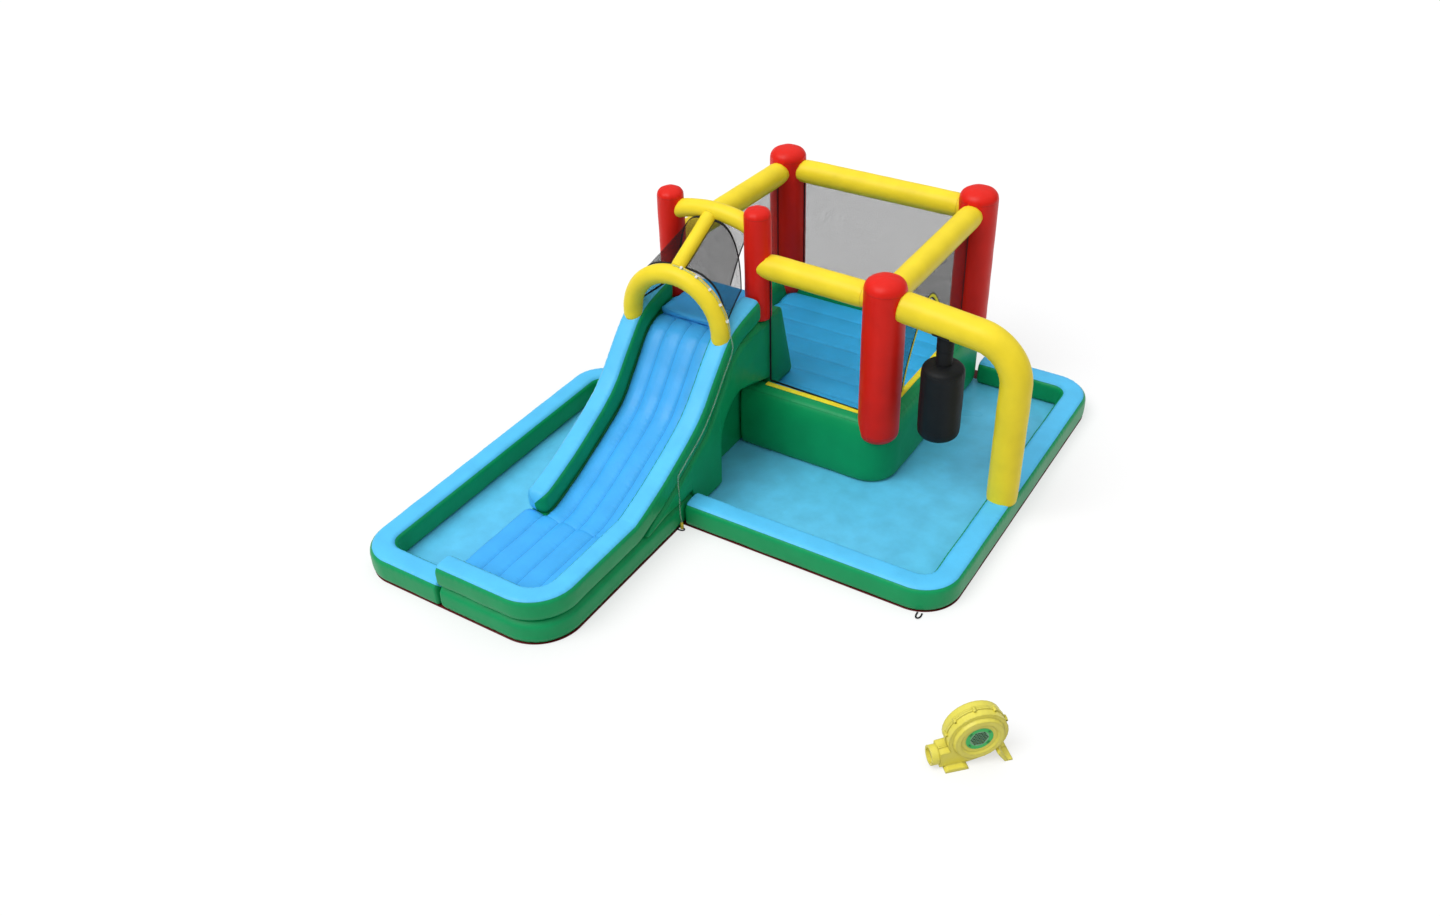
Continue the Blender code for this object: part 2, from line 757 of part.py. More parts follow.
def make_slide_mattress():
    rings = []
    for row in rows_between(RUNOUT_END_Y, DECK_FRONT_Y - GAP):
        ring = channel_ring(
            INNER_LEFT_X + GAP, INNER_RIGHT_X - GAP, slide_surface(row), mattress_bottom(row) + GAP,
            SLIDE_CHANNELS)
        rings.append([(x, row[0], z) for x, z in ring])
    add_part("slide_mattress", loft_mesh("slide_mattress", rings), vinyl("slide_vinyl", SLIDE_BLUE))


def make_runout_mattress():
    top = slide_surface(crest_at(FRONT_Y))
    front = FRONT_Y + RAIL_WIDTH + GAP
    back = RUNOUT_END_Y - GAP
    section = channel_ring(LANE_LEFT_X, INNER_RIGHT_X - GAP, top, GROUND_Z, RUNOUT_CHANNELS)
    loops = [section, shell_outline(section, SKIN_THICKNESS)]
    mesh = prism_mesh("runout_mattress", loops, back - front, FRONT, (front + back) / 2)
    part = add_part("runout_mattress", mesh, vinyl("slide_vinyl", SLIDE_BLUE))
    radius = LANE_CORNER_RADIUS - RAIL_WIDTH / 2 + CORNER_EASE
    outline = rounded_line([
        (LANE_LEFT_X - OVERRUN, front - GAP, 0.0),
        (INNER_RIGHT_X - GAP, front - GAP, radius),
        (INNER_RIGHT_X - GAP, back + OVERRUN, 0.0),
        (LANE_LEFT_X - OVERRUN, back + OVERRUN, 0.0),
    ], closed=True)
    keep = add_cutter("runout_keep", prism_mesh("runout_keep", [outline], 4 * top, PLAN, 0.0))
    apply_boolean(part, keep, "INTERSECT")


def shell_outline(points, inset):
    """The same outline moved inwards by a wall thickness."""
    count = len(points)
    area = sum(points[i][0] * points[(i + 1) % count][1] - points[(i + 1) % count][0] * points[i][1]
               for i in range(count))
    side = 1.0 if area > 0 else -1.0
    moved = []
    for i in range(count):
        here = Vector(points[i])
        into = (here - Vector(points[i - 1])).normalized()
        out = (Vector(points[(i + 1) % count]) - here).normalized()
        normal = Vector((-into.y - out.y, into.x + out.x)) * side
        normal.normalize()
        lean = normal.dot(Vector((-into.y, into.x)) * side)
        moved.append(tuple(here + normal * inset / max(lean, 0.5)))
    return moved


def make_slide_body():
    """The inflated block under the slide, an open-sided skin closed by the side panels."""
    start = RUNOUT_END_Y
    rows = rows_between(start, DECK_FRONT_Y)
    top = [(row[0], mattress_bottom(row) - GAP) for row in rows]
    outline = [(start, GROUND_Z)] + top
    outline += [
        (DECK_FRONT_Y, PANEL_TOP),
        (BASE_INNER_Y, PANEL_TOP),
        (BASE_INNER_Y, GROUND_Z),
    ]
    loops = [outline, shell_outline(outline, SKIN_THICKNESS)]
    width = INNER_RIGHT_X - INNER_LEFT_X - 2 * GAP
    mesh = prism_mesh("slide_body", loops, width, SIDE, LANE_MID_X)
    add_part("slide_body", mesh, vinyl("slide_vinyl", SLIDE_BLUE))


def make_side_panels():
    side = vinyl("side_vinyl", GREEN)
    centre_right = LANE_RIGHT_X - RAIL_WIDTH / 2
    tip = SLIDE_FOOT_Y + RAIL_WIDTH / 2
    rows = rows_between(tip, CREST_END_Y)
    top = [(row[0], rail_bottom(row) - GAP) for row in rows]
    notch_front = BASE_INNER_Y - NOTCH_REACH
    crown_y = notch_front + NOTCH_ARC_LENGTH
    notch = arc(
        (crown_y, NOTCH_SIDE_HEIGHT), (NOTCH_ARC_LENGTH, NOTCH_HEIGHT - NOTCH_SIDE_HEIGHT), 90.0, 180.0)
    outline = [(tip, GROUND_Z + LOWER_TUBE_HEIGHT + GAP)] + top
    outline += [
        (CREST_END_Y, PANEL_TOP),
        (BASE_INNER_Y - GAP, PANEL_TOP),
        (BASE_INNER_Y - GAP, GROUND_Z + BASE_HEIGHT + GAP),
    ]
    outline += notch
    outline += [
        (notch_front, GROUND_Z),
        (POOL_INNER_Y + GAP, GROUND_Z),
        (POOL_INNER_Y + GAP, GROUND_Z + LOWER_TUBE_HEIGHT + GAP),
    ]
    mesh = prism_mesh("right_side_panel", [outline], RAIL_WIDTH, SIDE, centre_right)
    part = add_part("right_side_panel", mesh, side)
    inside = [shell_outline(outline, SKIN_THICKNESS)]
    hollow = prism_mesh("right_chamber", inside, RAIL_WIDTH, SIDE, centre_right - SKIN_THICKNESS)
    cut(part, add_cutter("right_chamber", hollow))

    start = RUNOUT_END_Y + GAP
    top = [(row[0], rail_bottom(row) - GAP) for row in rows_between(start, CREST_END_Y)]
    outline = [(start, GROUND_Z)] + top
    outline += [
        (CREST_END_Y, PANEL_TOP),
        (BASE_INNER_Y - GAP, PANEL_TOP),
        (BASE_INNER_Y - GAP, GROUND_Z),
    ]
    centre_left = LANE_LEFT_X + RAIL_WIDTH / 2
    mesh = prism_mesh("left_side_panel", [outline], RAIL_WIDTH, SIDE, centre_left)
    part = add_part("left_side_panel", mesh, side)
    inside = [shell_outline(outline, SKIN_THICKNESS)]
    hollow = prism_mesh("left_chamber", inside, RAIL_WIDTH, SIDE, centre_left + SKIN_THICKNESS)
    cut(part, add_cutter("left_chamber", hollow))


def make_deck_and_climb():
    left = HOUSE_LEFT_X + BASE_WIDTH + GAP
    near_left = SLIM_LEFT.x + SLIM_RADIUS + GAP
    near_right = SLIM_RIGHT.x - SLIM_RADIUS - GAP
    wide_y = CREST_END_Y - GAP
    deck = [
        (INNER_LEFT_X + GAP, DECK_FRONT_Y),
        (INNER_RIGHT_X - GAP, DECK_FRONT_Y),
        (INNER_RIGHT_X - GAP, wide_y),
        (near_right, wide_y),
        (near_right, DECK_BACK_Y),
        (near_left, DECK_BACK_Y),
        (near_left, wide_y),
        (INNER_LEFT_X + GAP, wide_y),
    ]
    level = (PANEL_TOP + GAP + DECK_HEIGHT) / 2
    mesh = prism_mesh("platform_deck", [deck], DECK_THICKNESS - GAP, PLAN, level)
    add_part("platform_deck", mesh, vinyl("slide_vinyl", SLIDE_BLUE))

    foot = FLOOR_HEIGHT + GAP
    outline = [
        (BASE_INNER_Y + GAP, foot),
        (BASE_INNER_Y + CLIMB_REACH, foot),
        (DECK_BACK_Y, PANEL_TOP),
        (BASE_INNER_Y + GAP, PANEL_TOP),
    ]
    width = LANE_RIGHT_X - left
    centre = (LANE_RIGHT_X + left) / 2
    mesh = prism_mesh("climbing_wall", [outline], width, SIDE, centre)
    part = add_part("climbing_wall", mesh, vinyl("side_vinyl", GREEN))
    inside = shell_outline(outline, SKIN_THICKNESS)
    inside = [(inside[0][0], foot - OVERRUN), (inside[1][0], foot - OVERRUN)] + inside[1:]
    hollow = prism_mesh("climb_chamber", [inside], width - 2 * SKIN_THICKNESS, SIDE, centre)
    cut(part, add_cutter("climb_chamber", hollow))

    face = Vector((DECK_BACK_Y - BASE_INNER_Y - CLIMB_REACH, PANEL_TOP - foot))
    up = face.normalized()
    out = Vector((up.y, -up.x))
    half = LADDER_WIDTH / 2
    low = LADDER_STRAP
    high = face.length - LADDER_STRAP
    pitch = (high - low - LADDER_STRAP) / LADDER_GAPS
    loops = [[(-half, low), (half, low), (half, high), (-half, high)]]
    for i in range(LADDER_GAPS):
        near = low + LADDER_STRAP + pitch * i
        far = near + pitch - LADDER_STRAP
        reach = half - LADDER_STRAP
        loops.append([(-reach, near), (reach, near), (reach, far), (-reach, far)])
    mesh = prism_mesh("climbing_ladder", loops, LADDER_THICKNESS)
    ladder = add_part("climbing_ladder", mesh, vinyl("webbing", BLACK))
    base = Vector((BASE_INNER_Y + CLIMB_REACH, foot)) + out * (LADDER_THICKNESS / 2 + GAP)
    ladder.matrix_world = Matrix((
        (-1.0, 0.0, 0.0, LANE_MID_X),
        (0.0, up.x, out.x, base.x),
        (0.0, up.y, out.y, base.y),
        (0.0, 0.0, 0.0, 1.0),
    ))


def upright_cutter(name, centre, radius, low, high):
    matrix = Matrix.Translation((centre.x, centre.y, (low + high) / 2))
    return add_cutter(name, cylinder_mesh(name, radius + GAP, high - low, COLUMN_SIDES, matrix))


def column_profile(radius, top, foot, foot_round):
    """Half outline of a column: domed head, straight sides and a softened foot."""
    dome = radius * COLUMN_DOME_SHARE
    head = arc((0.0, top - dome), (radius, dome), 90.0, 0.0)
    if foot_round:
        turn = radius * COLUMN_ROUND_SHARE
        base = arc((radius - turn, foot + turn), turn, 0.0, -90.0, ROUND_STEPS)
    else:
        base = [(radius, foot)]
    return head + base + [(0.0, foot)]


def make_columns():
    red = vinyl("column_vinyl", RED)
    places = (
        ("back_left_column", BACK_LEFT, COLUMN_RADIUS, COLUMN_TOP, COLUMN_FOOT, True),
        ("back_right_column", BACK_RIGHT, COLUMN_RADIUS, COLUMN_TOP, COLUMN_FOOT, True),
        ("front_right_column", FRONT_RIGHT, COLUMN_RADIUS, COLUMN_TOP, COLUMN_FOOT, True),
        ("slide_left_column", SLIM_LEFT, SLIM_RADIUS, SLIM_TOP, PANEL_TOP + GAP, False),
        ("slide_right_column", SLIM_RIGHT, SLIM_RADIUS, SLIM_TOP, PANEL_TOP + GAP, False),
    )
    for name, centre, radius, top, foot, foot_round in places:
        profile = column_profile(radius, top, foot, foot_round)
        turned_part(name, profile, COLUMN_SIDES, red, (centre.x, centre.y, 0.0))
        CUTTER_OF[name] = upright_cutter(name + "_cutter", centre, radius, foot - GAP, top + OVERRUN)
    for i, centre in enumerate((BACK_LEFT, BACK_RIGHT, FRONT_RIGHT)):
        name = "floor_corner_" + str(i)
        CUTTER_OF[name] = upright_cutter(name, centre, COLUMN_RADIUS, -OVERRUN, COLUMN_TOP)


def base_wall(name, corners):
    line = at_height(rounded_line(corners), 0.0)
    section = bulged_section(BASE_WIDTH, BASE_HEIGHT, GROUND_Z)
    part = add_part(name, sweep_mesh(name, line, section, capped=False), vinyl("side_vinyl", GREEN))
    skin = part.modifiers.new("skin", "SOLIDIFY")
    skin.thickness = SKIN_THICKNESS
    skin.offset = -1.0
    skin.use_rim = True
    return part


def make_base():
    half = BASE_WIDTH / 2
    radius = BASE_CORNER_RADIUS
    front = HOUSE_FRONT_Y + half
    back = BACK_Y - half
    left = HOUSE_LEFT_X + half
    right = HOUSE_RIGHT_X - half
    part = base_wall("base_front_tube", [
        (INNER_RIGHT_X + GAP, front, 0.0), (right, front, radius), (right, front + radius + half, 0.0)])
    cut(part, CUTTER_OF["front_right_column"])
    part = base_wall("base_right_tube", [
        (right, front + radius + half + GAP, 0.0),
        (right, back, radius),
        (right - radius - half, back, 0.0)])
    cut(part, CUTTER_OF["back_right_column"])
    part = base_wall("base_back_tube", [
        (right - radius - half - GAP, back, 0.0), (left, back, radius), (left, back - radius - half, 0.0)])
    cut(part, CUTTER_OF["back_left_column"])
    base_wall("base_left_tube", [
        (left, back - radius - half - GAP, 0.0), (left, BASE_INNER_Y + GAP, 0.0)])


def make_bounce_floor():
    low_y = BASE_INNER_Y + GAP
    high_y = BACK_Y - BASE_WIDTH - GAP
    section = channel_ring(low_y, high_y, FLOOR_HEIGHT, GROUND_Z, FLOOR_CHANNELS)
    left = HOUSE_LEFT_X + BASE_WIDTH + GAP
    right = HOUSE_RIGHT_X - BASE_WIDTH - GAP
    loops = [section, shell_outline(section, SKIN_THICKNESS)]
    mesh = prism_mesh("bounce_floor", loops, right - left, SIDE, (left + right) / 2)
    part = add_part("bounce_floor", mesh, vinyl("floor_vinyl", SLIDE_BLUE))
    cut(part, CUTTER_OF["floor_corner_0"], CUTTER_OF["floor_corner_1"], CUTTER_OF["floor_corner_2"])


def make_strips():
    """Yellow edging along the inner top edge of the front and right base tubes."""
    yellow = vinyl("edge_vinyl", YELLOW)
    level = GROUND_Z + BASE_HEIGHT + GAP
    reach = BASE_WIDTH / 2 - STRIP_WIDTH / 2
    y = BASE_INNER_Y - BASE_WIDTH / 2 + reach * STRIP_SHIFT_SHARE
    low = (LANE_RIGHT_X + GAP, y - STRIP_WIDTH / 2, level)
    high = (FRONT_RIGHT.x - COLUMN_RADIUS - 2 * GAP, y + STRIP_WIDTH / 2, level + STRIP_THICKNESS)
    add_part("front_edge_strip", box_mesh("front_edge_strip", low, high), yellow)
    x = HOUSE_RIGHT_X - BASE_WIDTH / 2 - reach * STRIP_SHIFT_SHARE
    low = (x - STRIP_WIDTH / 2, FRONT_RIGHT.y + COLUMN_RADIUS + 2 * GAP, level)
    high = (x + STRIP_WIDTH / 2, BACK_RIGHT.y - COLUMN_RADIUS - 2 * GAP, level + STRIP_THICKNESS)
    add_part("right_edge_strip", box_mesh("right_edge_strip", low, high), yellow)


def make_beam(name, start, end, cutters):
    line = [(start.x, start.y, BEAM_HEIGHT), (end.x, end.y, BEAM_HEIGHT)]
    part = add_part(name, tube_mesh(name, line, BEAM_RADIUS, TUBE_SIDES), vinyl("beam_vinyl", YELLOW))
    cut(part, *[CUTTER_OF[cutter] for cutter in cutters])


def make_beams():
    make_beam("back_beam", BACK_LEFT, BACK_RIGHT, ("back_left_column", "back_right_column"))
    make_beam("right_beam", FRONT_RIGHT, BACK_RIGHT, ("front_right_column", "back_right_column"))
    make_beam("front_beam", SLIM_RIGHT, FRONT_RIGHT, ("slide_right_column", "front_right_column"))
    make_beam("left_beam", SLIM_LEFT, BACK_LEFT, ("slide_left_column", "back_left_column"))


def swing_arch_line():
    """Centre line of the bag's arch, from the column to its leg on the pool wall."""
    leg_x = RIGHT_X - WALL_WIDTH / 2
    droop_z = BEAM_HEIGHT - ARCH_DROOP
    centre = (leg_x - ARCH_BEND_RADIUS, droop_z - ARCH_BEND_RADIUS)
    bend = arc(centre, ARCH_BEND_RADIUS, ARCH_BEND_DEG, 0.0, ARCH_BEND_STEPS)
    foot = GROUND_Z + WALL_HEIGHT - ARCH_RADIUS
    y = COLUMN_FRONT_Y
    line = [(FRONT_RIGHT.x, y, BEAM_HEIGHT)]
    line += [(x, y, z) for x, z in bend]
    line.append((leg_x, y, foot))
    return line


def make_swing_arch():
    mesh = tube_mesh("swing_arch", swing_arch_line(), ARCH_RADIUS, TUBE_SIDES)
    part = add_part("swing_arch", mesh, vinyl("beam_vinyl", YELLOW))
    seat = GROUND_Z + WALL_HEIGHT + GAP
    low = (RIGHT_X - WALL_WIDTH - OVERRUN, COLUMN_FRONT_Y - ARCH_RADIUS - OVERRUN, -OVERRUN)
    high = (RIGHT_X + OVERRUN, COLUMN_FRONT_Y + ARCH_RADIUS + OVERRUN, seat)
    cut(part, CUTTER_OF["front_right_column"], add_cutter("arch_foot", box_mesh("arch_foot", low, high)))


def tunnel_line():
    left = SLIM_LEFT.x
    right = SLIM_RIGHT.x
    middle = (left + right) / 2
    rise = TUNNEL_TOP_HEIGHT - TUNNEL_END_HEIGHT
    bow = arc((middle, TUNNEL_END_HEIGHT), ((right - left) / 2, rise), 180.0, 0.0, 10)
    return [(x, SLIM_Y, z) for x, z in bow]


def spray_line(foot):
    centre_z = crest_at(SPRAY_Y)[1]
    reach = (LANE_WIDTH - RAIL_WIDTH) / 2
    bow = arc((LANE_MID_X, centre_z), reach, 180.0, 0.0, 14)
    ends = [(LANE_MID_X - reach, SPRAY_Y, foot), (LANE_MID_X + reach, SPRAY_Y, foot)]
    return [ends[0]] + [(x, SPRAY_Y, z) for x, z in bow] + [ends[1]]


def make_tunnel():
    yellow = vinyl("beam_vinyl", YELLOW)
    part = add_part(
        "tunnel_arch", tube_mesh("tunnel_arch", tunnel_line(), TUNNEL_TUBE_RADIUS, TUBE_SIDES), yellow)
    cut(part, CUTTER_OF["slide_left_column"], CUTTER_OF["slide_right_column"])

    foot = crest_at(SPRAY_Y)[1] - SPRAY_TUBE_RADIUS
    spray = spray_line(foot)
    part = add_part("spray_arch", tube_mesh("spray_arch", spray, SPRAY_TUBE_RADIUS, TUBE_SIDES), yellow)
    cut(part, add_cutter("left_rail_seat", loft_mesh("left_rail_seat", left_rail_rings(2 * GAP))),
        add_cutter("right_rail_seat", loft_mesh("right_rail_seat", right_rail_rings(2 * GAP))))

    start = Vector((LANE_MID_X, SPRAY_Y, spray[8][2]))
    end = Vector(((SLIM_LEFT.x + SLIM_RIGHT.x) / 2, SLIM_Y, TUNNEL_TOP_HEIGHT))
    part = add_part(
        "ridge_tube", tube_mesh("ridge_tube", [start, end], RIDGE_RADIUS, TUBE_SIDES), yellow)
    front = tube_mesh("spray_cutter", spray, SPRAY_TUBE_RADIUS + GAP, TUBE_SIDES)
    rear = tube_mesh("tunnel_cutter", tunnel_line(), TUNNEL_TUBE_RADIUS + GAP, TUBE_SIDES)
    CUTTER_OF["spray_arch"] = add_cutter("spray_cutter", front)
    cut(part, CUTTER_OF["spray_arch"], add_cutter("tunnel_cutter", rear))


def make_canopy():
    """Netting over the slide top, one sheet each side of the ridge tube."""
    net = vinyl("netting", NET_GREY)
    front_y = SPRAY_Y + SPRAY_TUBE_RADIUS + CANOPY_CLEARANCE
    rear_y = SLIM_Y - TUNNEL_TUBE_RADIUS - CANOPY_CLEARANCE
    front_half = (LANE_WIDTH - RAIL_WIDTH) / 2
    rear_half = (SLIM_RIGHT.x - SLIM_LEFT.x) / 2 - SLIM_RADIUS - NET_THICKNESS - GAP
    rear_mid = (SLIM_LEFT.x + SLIM_RIGHT.x) / 2
    ridge_slope = (TUNNEL_TOP_HEIGHT - SPRAY_TOP) / (SLIM_Y - SPRAY_Y)
    start_x = RIDGE_RADIUS + CANOPY_CLEARANCE
    for side, name in ((-1, "left_canopy_net"), (1, "right_canopy_net")):
        rings = []
        for row in rows_between(front_y, rear_y):
            share = (row[0] - front_y) / (rear_y - front_y)
            half = front_half + (rear_half - front_half) * share
            middle = LANE_MID_X + (rear_mid - LANE_MID_X) * (row[0] - SPRAY_Y) / (SLIM_Y - SPRAY_Y)
            ridge_z = SPRAY_TOP + ridge_slope * (row[0] - SPRAY_Y)
            foot_z = row[1] + CANOPY_CLEARANCE
            outer = []
            for i in range(CANOPY_STEPS + 1):
                angle = math.pi / 2 * i / CANOPY_STEPS
                across = start_x + (half - start_x) * math.sin(angle) ** CANOPY_EXPONENT
                outer.append((across, foot_z + (ridge_z - foot_z) * math.cos(angle) ** CANOPY_EXPONENT))
            inner = [(outer[0][0], outer[0][1] - NET_THICKNESS)]
            for before, here, after in zip(outer, outer[1:], outer[2:]):
                run = Vector(after) - Vector(before)
                into = Vector((run.y, -run.x)).normalized() * NET_THICKNESS
                inner.append(tuple(Vector(here) + into))
            inner.append((outer[-1][0] - NET_THICKNESS, outer[-1][1]))
            rings.append([(middle + side * x, row[0], z) for x, z in outer + inner[::-1]])
        add_part(name, loft_mesh(name, rings), net)


def doorway(start, width, sill, top):
    """Tall arched opening as a line of (along, height) points from its near foot to its far foot."""
    half = width / 2
    middle = start + half
    rise = top - sill
    near = [(middle - half * out, sill + rise * up) for out, up in DOOR_SHARES]
    far = [(middle + half * out, sill + rise * up) for out, up in reversed(DOOR_SHARES)]
    return near + [(middle, top)] + far


def net_panel(name, start, end, start_clear, end_clear, door_offset=None):
    """A net between two columns, from the base tubes up to the beam."""
    low = GROUND_Z + BASE_HEIGHT + STRIP_THICKNESS + 2 * GAP
    high = BEAM_HEIGHT - BEAM_RADIUS - GAP
    span = (end - start).length
    near = start_clear
    far = span - end_clear
    outline = [(near, low)]
    if door_offset is not None:
        outline += doorway(near + door_offset, DOOR_WIDTH, low, DOOR_HEIGHT)
    outline += [(far, low), (far, high), (near, high)]
    mesh = prism_mesh(name, [outline], NET_THICKNESS, FRONT, 0.0)
    part = add_part(name, mesh, vinyl("netting", NET_GREY))
    turn = math.atan2(end.y - start.y, end.x - start.x)
    part.matrix_world = Matrix.Translation((start.x, start.y, 0.0)) @ Matrix.Rotation(turn, 4, "Z")


def make_nets():
    wide = COLUMN_RADIUS + GAP
    slim = SLIM_RADIUS + GAP
    net_panel("back_net", BACK_LEFT, BACK_RIGHT, wide, wide)
    door = DOOR_OFFSET - COLUMN_RADIUS
    net_panel("right_net", FRONT_RIGHT, BACK_RIGHT, wide, wide, door)
    left_door = LEFT_DOOR_OFFSET - SLIM_RADIUS
    net_panel("left_net", SLIM_LEFT, BACK_LEFT, slim, wide, left_door)
    net_panel("front_net", SLIM_RIGHT, FRONT_RIGHT, slim, wide)


def bag_top():
    """Place on the arch's centre line above the bag, and the arch's slope there."""
    x = FRONT_RIGHT.x + BAG_OFFSET
    near, far = swing_arch_line()[:2]
    rise = (far[2] - near[2]) / (far[0] - near[0])
    return Vector((x, COLUMN_FRONT_Y, near[2] + rise * (x - near[0]))), math.atan(rise)


def lug_outline(hole):
    """A link tab as (across, height) loops, with its pin hole on the origin."""
    half = LUG_WIDTH / 2
    foot = -PIVOT_DROP - OVERLAP
    tab = arc((0.0, 0.0), half, 0.0, 180.0) + [(-half, foot), (half, foot)]
    return [tab, arc((0.0, 0.0), hole, 0.0, 360.0 - 360.0 / PIN_SIDES, PIN_SIDES - 1)]


def along(axis, place):
    """Turn a shape built along Z so that it lies along X or Y, and move it."""
    turn = Matrix.Rotation(math.pi / 2, 4, "Y" if axis == "X" else "X")
    return Matrix.Translation(place) @ turn


def make_bag():
    """Strap round the arch, a swinging link under it and the bag under the link.

    The link turns about X on the pin in the strap's ears. The bag turns about Y on the pin in
    the link's lower ears.
    """
    web = vinyl("webbing", BLACK)
    top, slope = bag_top()
    bore = (ARCH_RADIUS + GAP) / math.cos(math.pi / BORE_SIDES)
    outer = bore + HANGER_THICKNESS
    first = Vector((top.x, top.y, top.z - outer - PIVOT_DROP))
    second = first - Vector((0.0, 0.0, YOKE_LENGTH))
    tilt = Matrix.Translation(top) @ Matrix.Rotation(-slope, 4, "Y") @ Matrix.Rotation(math.pi / 2, 4, "Y")
    hanger = add_part("bag_hanger", cylinder_mesh("bag_hanger", outer, HANGER_WIDTH, BORE_SIDES, tilt), web)
    ear = LUG_THICKNESS
    inner = LUG_THICKNESS / 2 + GAP
    pieces = []
    for side, name in ((-1, "hanger_ear_left"), (1, "hanger_ear_right")):
        middle = top.x + side * (inner + ear / 2)
        low = (middle - ear / 2, top.y - LUG_WIDTH / 2, first.z - LUG_WIDTH / 2)
        high = (middle + ear / 2, top.y + LUG_WIDTH / 2, top.z - ARCH_RADIUS)
        pieces.append(add_cutter(name, box_mesh(name, low, high)))
    pin = cylinder_mesh("hanger_pin", PIN_RADIUS, 2 * inner + ear, PIN_SIDES, along("X", first))
    join(hanger, *pieces, add_cutter("hanger_pin", pin))
    hole = cylinder_mesh("hanger_bore", bore, 4 * HANGER_WIDTH, BORE_SIDES, tilt)
    cut(hanger, add_cutter("hanger_bore", hole))

    clear = PIN_RADIUS + PIN_CLEARANCE
    lug = prism_mesh("bag_link", lug_outline(clear), LUG_THICKNESS, SIDE)
    link = add_part("bag_link", lug, web)
    link.location = first
    body_top = PIVOT_DROP * LINK_TOP_SHARE
    body_end = YOKE_LENGTH - PIVOT_DROP * LINK_TOP_SHARE
    profile = [(0.0, -body_top), (LUG_WIDTH / 2, -body_top), (NECK_RADIUS, -body_top - LUG_WIDTH / 2),
               (NECK_RADIUS, -body_end), (0.0, -body_end)]
    barrel = turned_part("link_barrel", profile, TUBE_SIDES, web, first)
    move_to_cutters(barrel)
    pieces = [barrel]
    for side, name in ((-1, "link_ear_front"), (1, "link_ear_back")):
        middle = top.y + side * (inner + ear / 2)
        low = (top.x - LUG_WIDTH / 2, middle - ear / 2, second.z - LUG_WIDTH / 2)
        high = (top.x + LUG_WIDTH / 2, middle + ear / 2, first.z - body_end + OVERLAP)
        pieces.append(add_cutter(name, box_mesh(name, low, high)))
    pin = cylinder_mesh("link_pin", PIN_RADIUS, 2 * inner + ear, PIN_SIDES, along("Y", second))
    join(link, *pieces, add_cutter("link_pin", pin))

    drop = PIVOT_DROP
    corner = BAG_CORNER_RADIUS
    profile = arc((BAG_RADIUS - corner * 2, -drop - corner), (corner * 2, corner), 90.0, 0.0)
    profile = [(0.0, -drop)] + profile
    profile += arc((BAG_RADIUS - corner, corner - drop - BAG_LENGTH), corner, 0.0, -90.0)
    profile += [(0.0, -drop - BAG_LENGTH)]
    bag = turned_part("punching_bag", profile, COLUMN_SIDES, vinyl("bag_vinyl", BLACK), second)
    lug = prism_mesh("bag_lug", lug_outline(clear), LUG_THICKNESS, FRONT)
    tab = add_cutter("bag_lug", lug)
    tab.location = second
    join(bag, tab)


def move_to_cutters(piece):
    PARTS.objects.unlink(piece)
    CUTTERS.objects.link(piece)
    piece.hide_render = True
    piece.display_type = "WIRE"


def make_hose():
    """Water hose up the right side of the slide and over the spray arch, with its clips."""
    black = vinyl("hose_rubber", BLACK)
    x = LANE_RIGHT_X + HOSE_RADIUS + GAP
    start_y = POOL_FRONT_Y - HOSE_SETBACK
    outlet_x = LANE_RIGHT_X + CONNECTOR_RADIUS + GAP
    start_z = GROUND_Z + CONNECTOR_LENGTH + GAP
    first = crest_at(start_y + HOSE_SETBACK)
    turn_z = first[1] - RAIL_HEIGHT / 2 * first[2] - HOSE_SETBACK
    points = [(outlet_x, start_y, start_z + 2 * HOSE_RADIUS * i) for i in range(3)]
    points += [(x, start_y, start_z + (turn_z - start_z) * share) for share in HOSE_RISE_SHARES]
    for row in rows_between(start_y + HOSE_SETBACK, SPRAY_Y - HOSE_SETBACK)[::2]:
        points.append((x, row[0], row[1] - RAIL_HEIGHT / 2 * row[2]))
    foot = crest_at(SPRAY_Y)
    points.append((x, SPRAY_Y, foot[1] - RAIL_HEIGHT / 2))
    points.append((x, SPRAY_Y, foot[1] - CREST_SIDE_DROP))
    reach = (LANE_WIDTH - RAIL_WIDTH) / 2 + SPRAY_TUBE_RADIUS + HOSE_RADIUS + HOSE_CLEARANCE
    for share in HOSE_ARCH_SHARES:
        angle = math.pi / 2 * share
        points.append((LANE_MID_X + reach * math.cos(angle), SPRAY_Y, foot[1] + reach * math.sin(angle)))
    line = spline_through(points, HOSE_STEPS)
    mesh = tube_mesh("water_hose", line, HOSE_RADIUS, HOSE_SIDES)
    hose = add_part("water_hose", mesh, black)

    profile = [
        (0.0, CONNECTOR_LENGTH),
        (CONNECTOR_RADIUS, CONNECTOR_LENGTH),
        (CONNECTOR_RADIUS, 0.0),
        (0.0, 0.0),
    ]
    place = (outlet_x, start_y, GROUND_Z)
    turned_part("hose_connector", profile, TUBE_SIDES, plastic("fitting", YELLOW), place)

    bore = add_cutter("clip_bore", tube_mesh("clip_bore", line, HOSE_RADIUS + GAP, HOSE_SIDES))
    for i, share in enumerate(CLIP_SHARES):
        angle = math.pi / 2 * share
        place = (LANE_MID_X + reach * math.cos(angle), SPRAY_Y, foot[1] + reach * math.sin(angle))
        lean = Matrix.Translation(place) @ Matrix.Rotation(-angle, 4, "Y")
        clip = cylinder_mesh("hose_clip", CLIP_RADIUS, CLIP_LENGTH, TUBE_SIDES, lean)
        part = add_part("hose_clip_" + str(i + 1), clip, plastic("clip", WHITE))
        cut(part, bore, CUTTER_OF["spray_arch"])


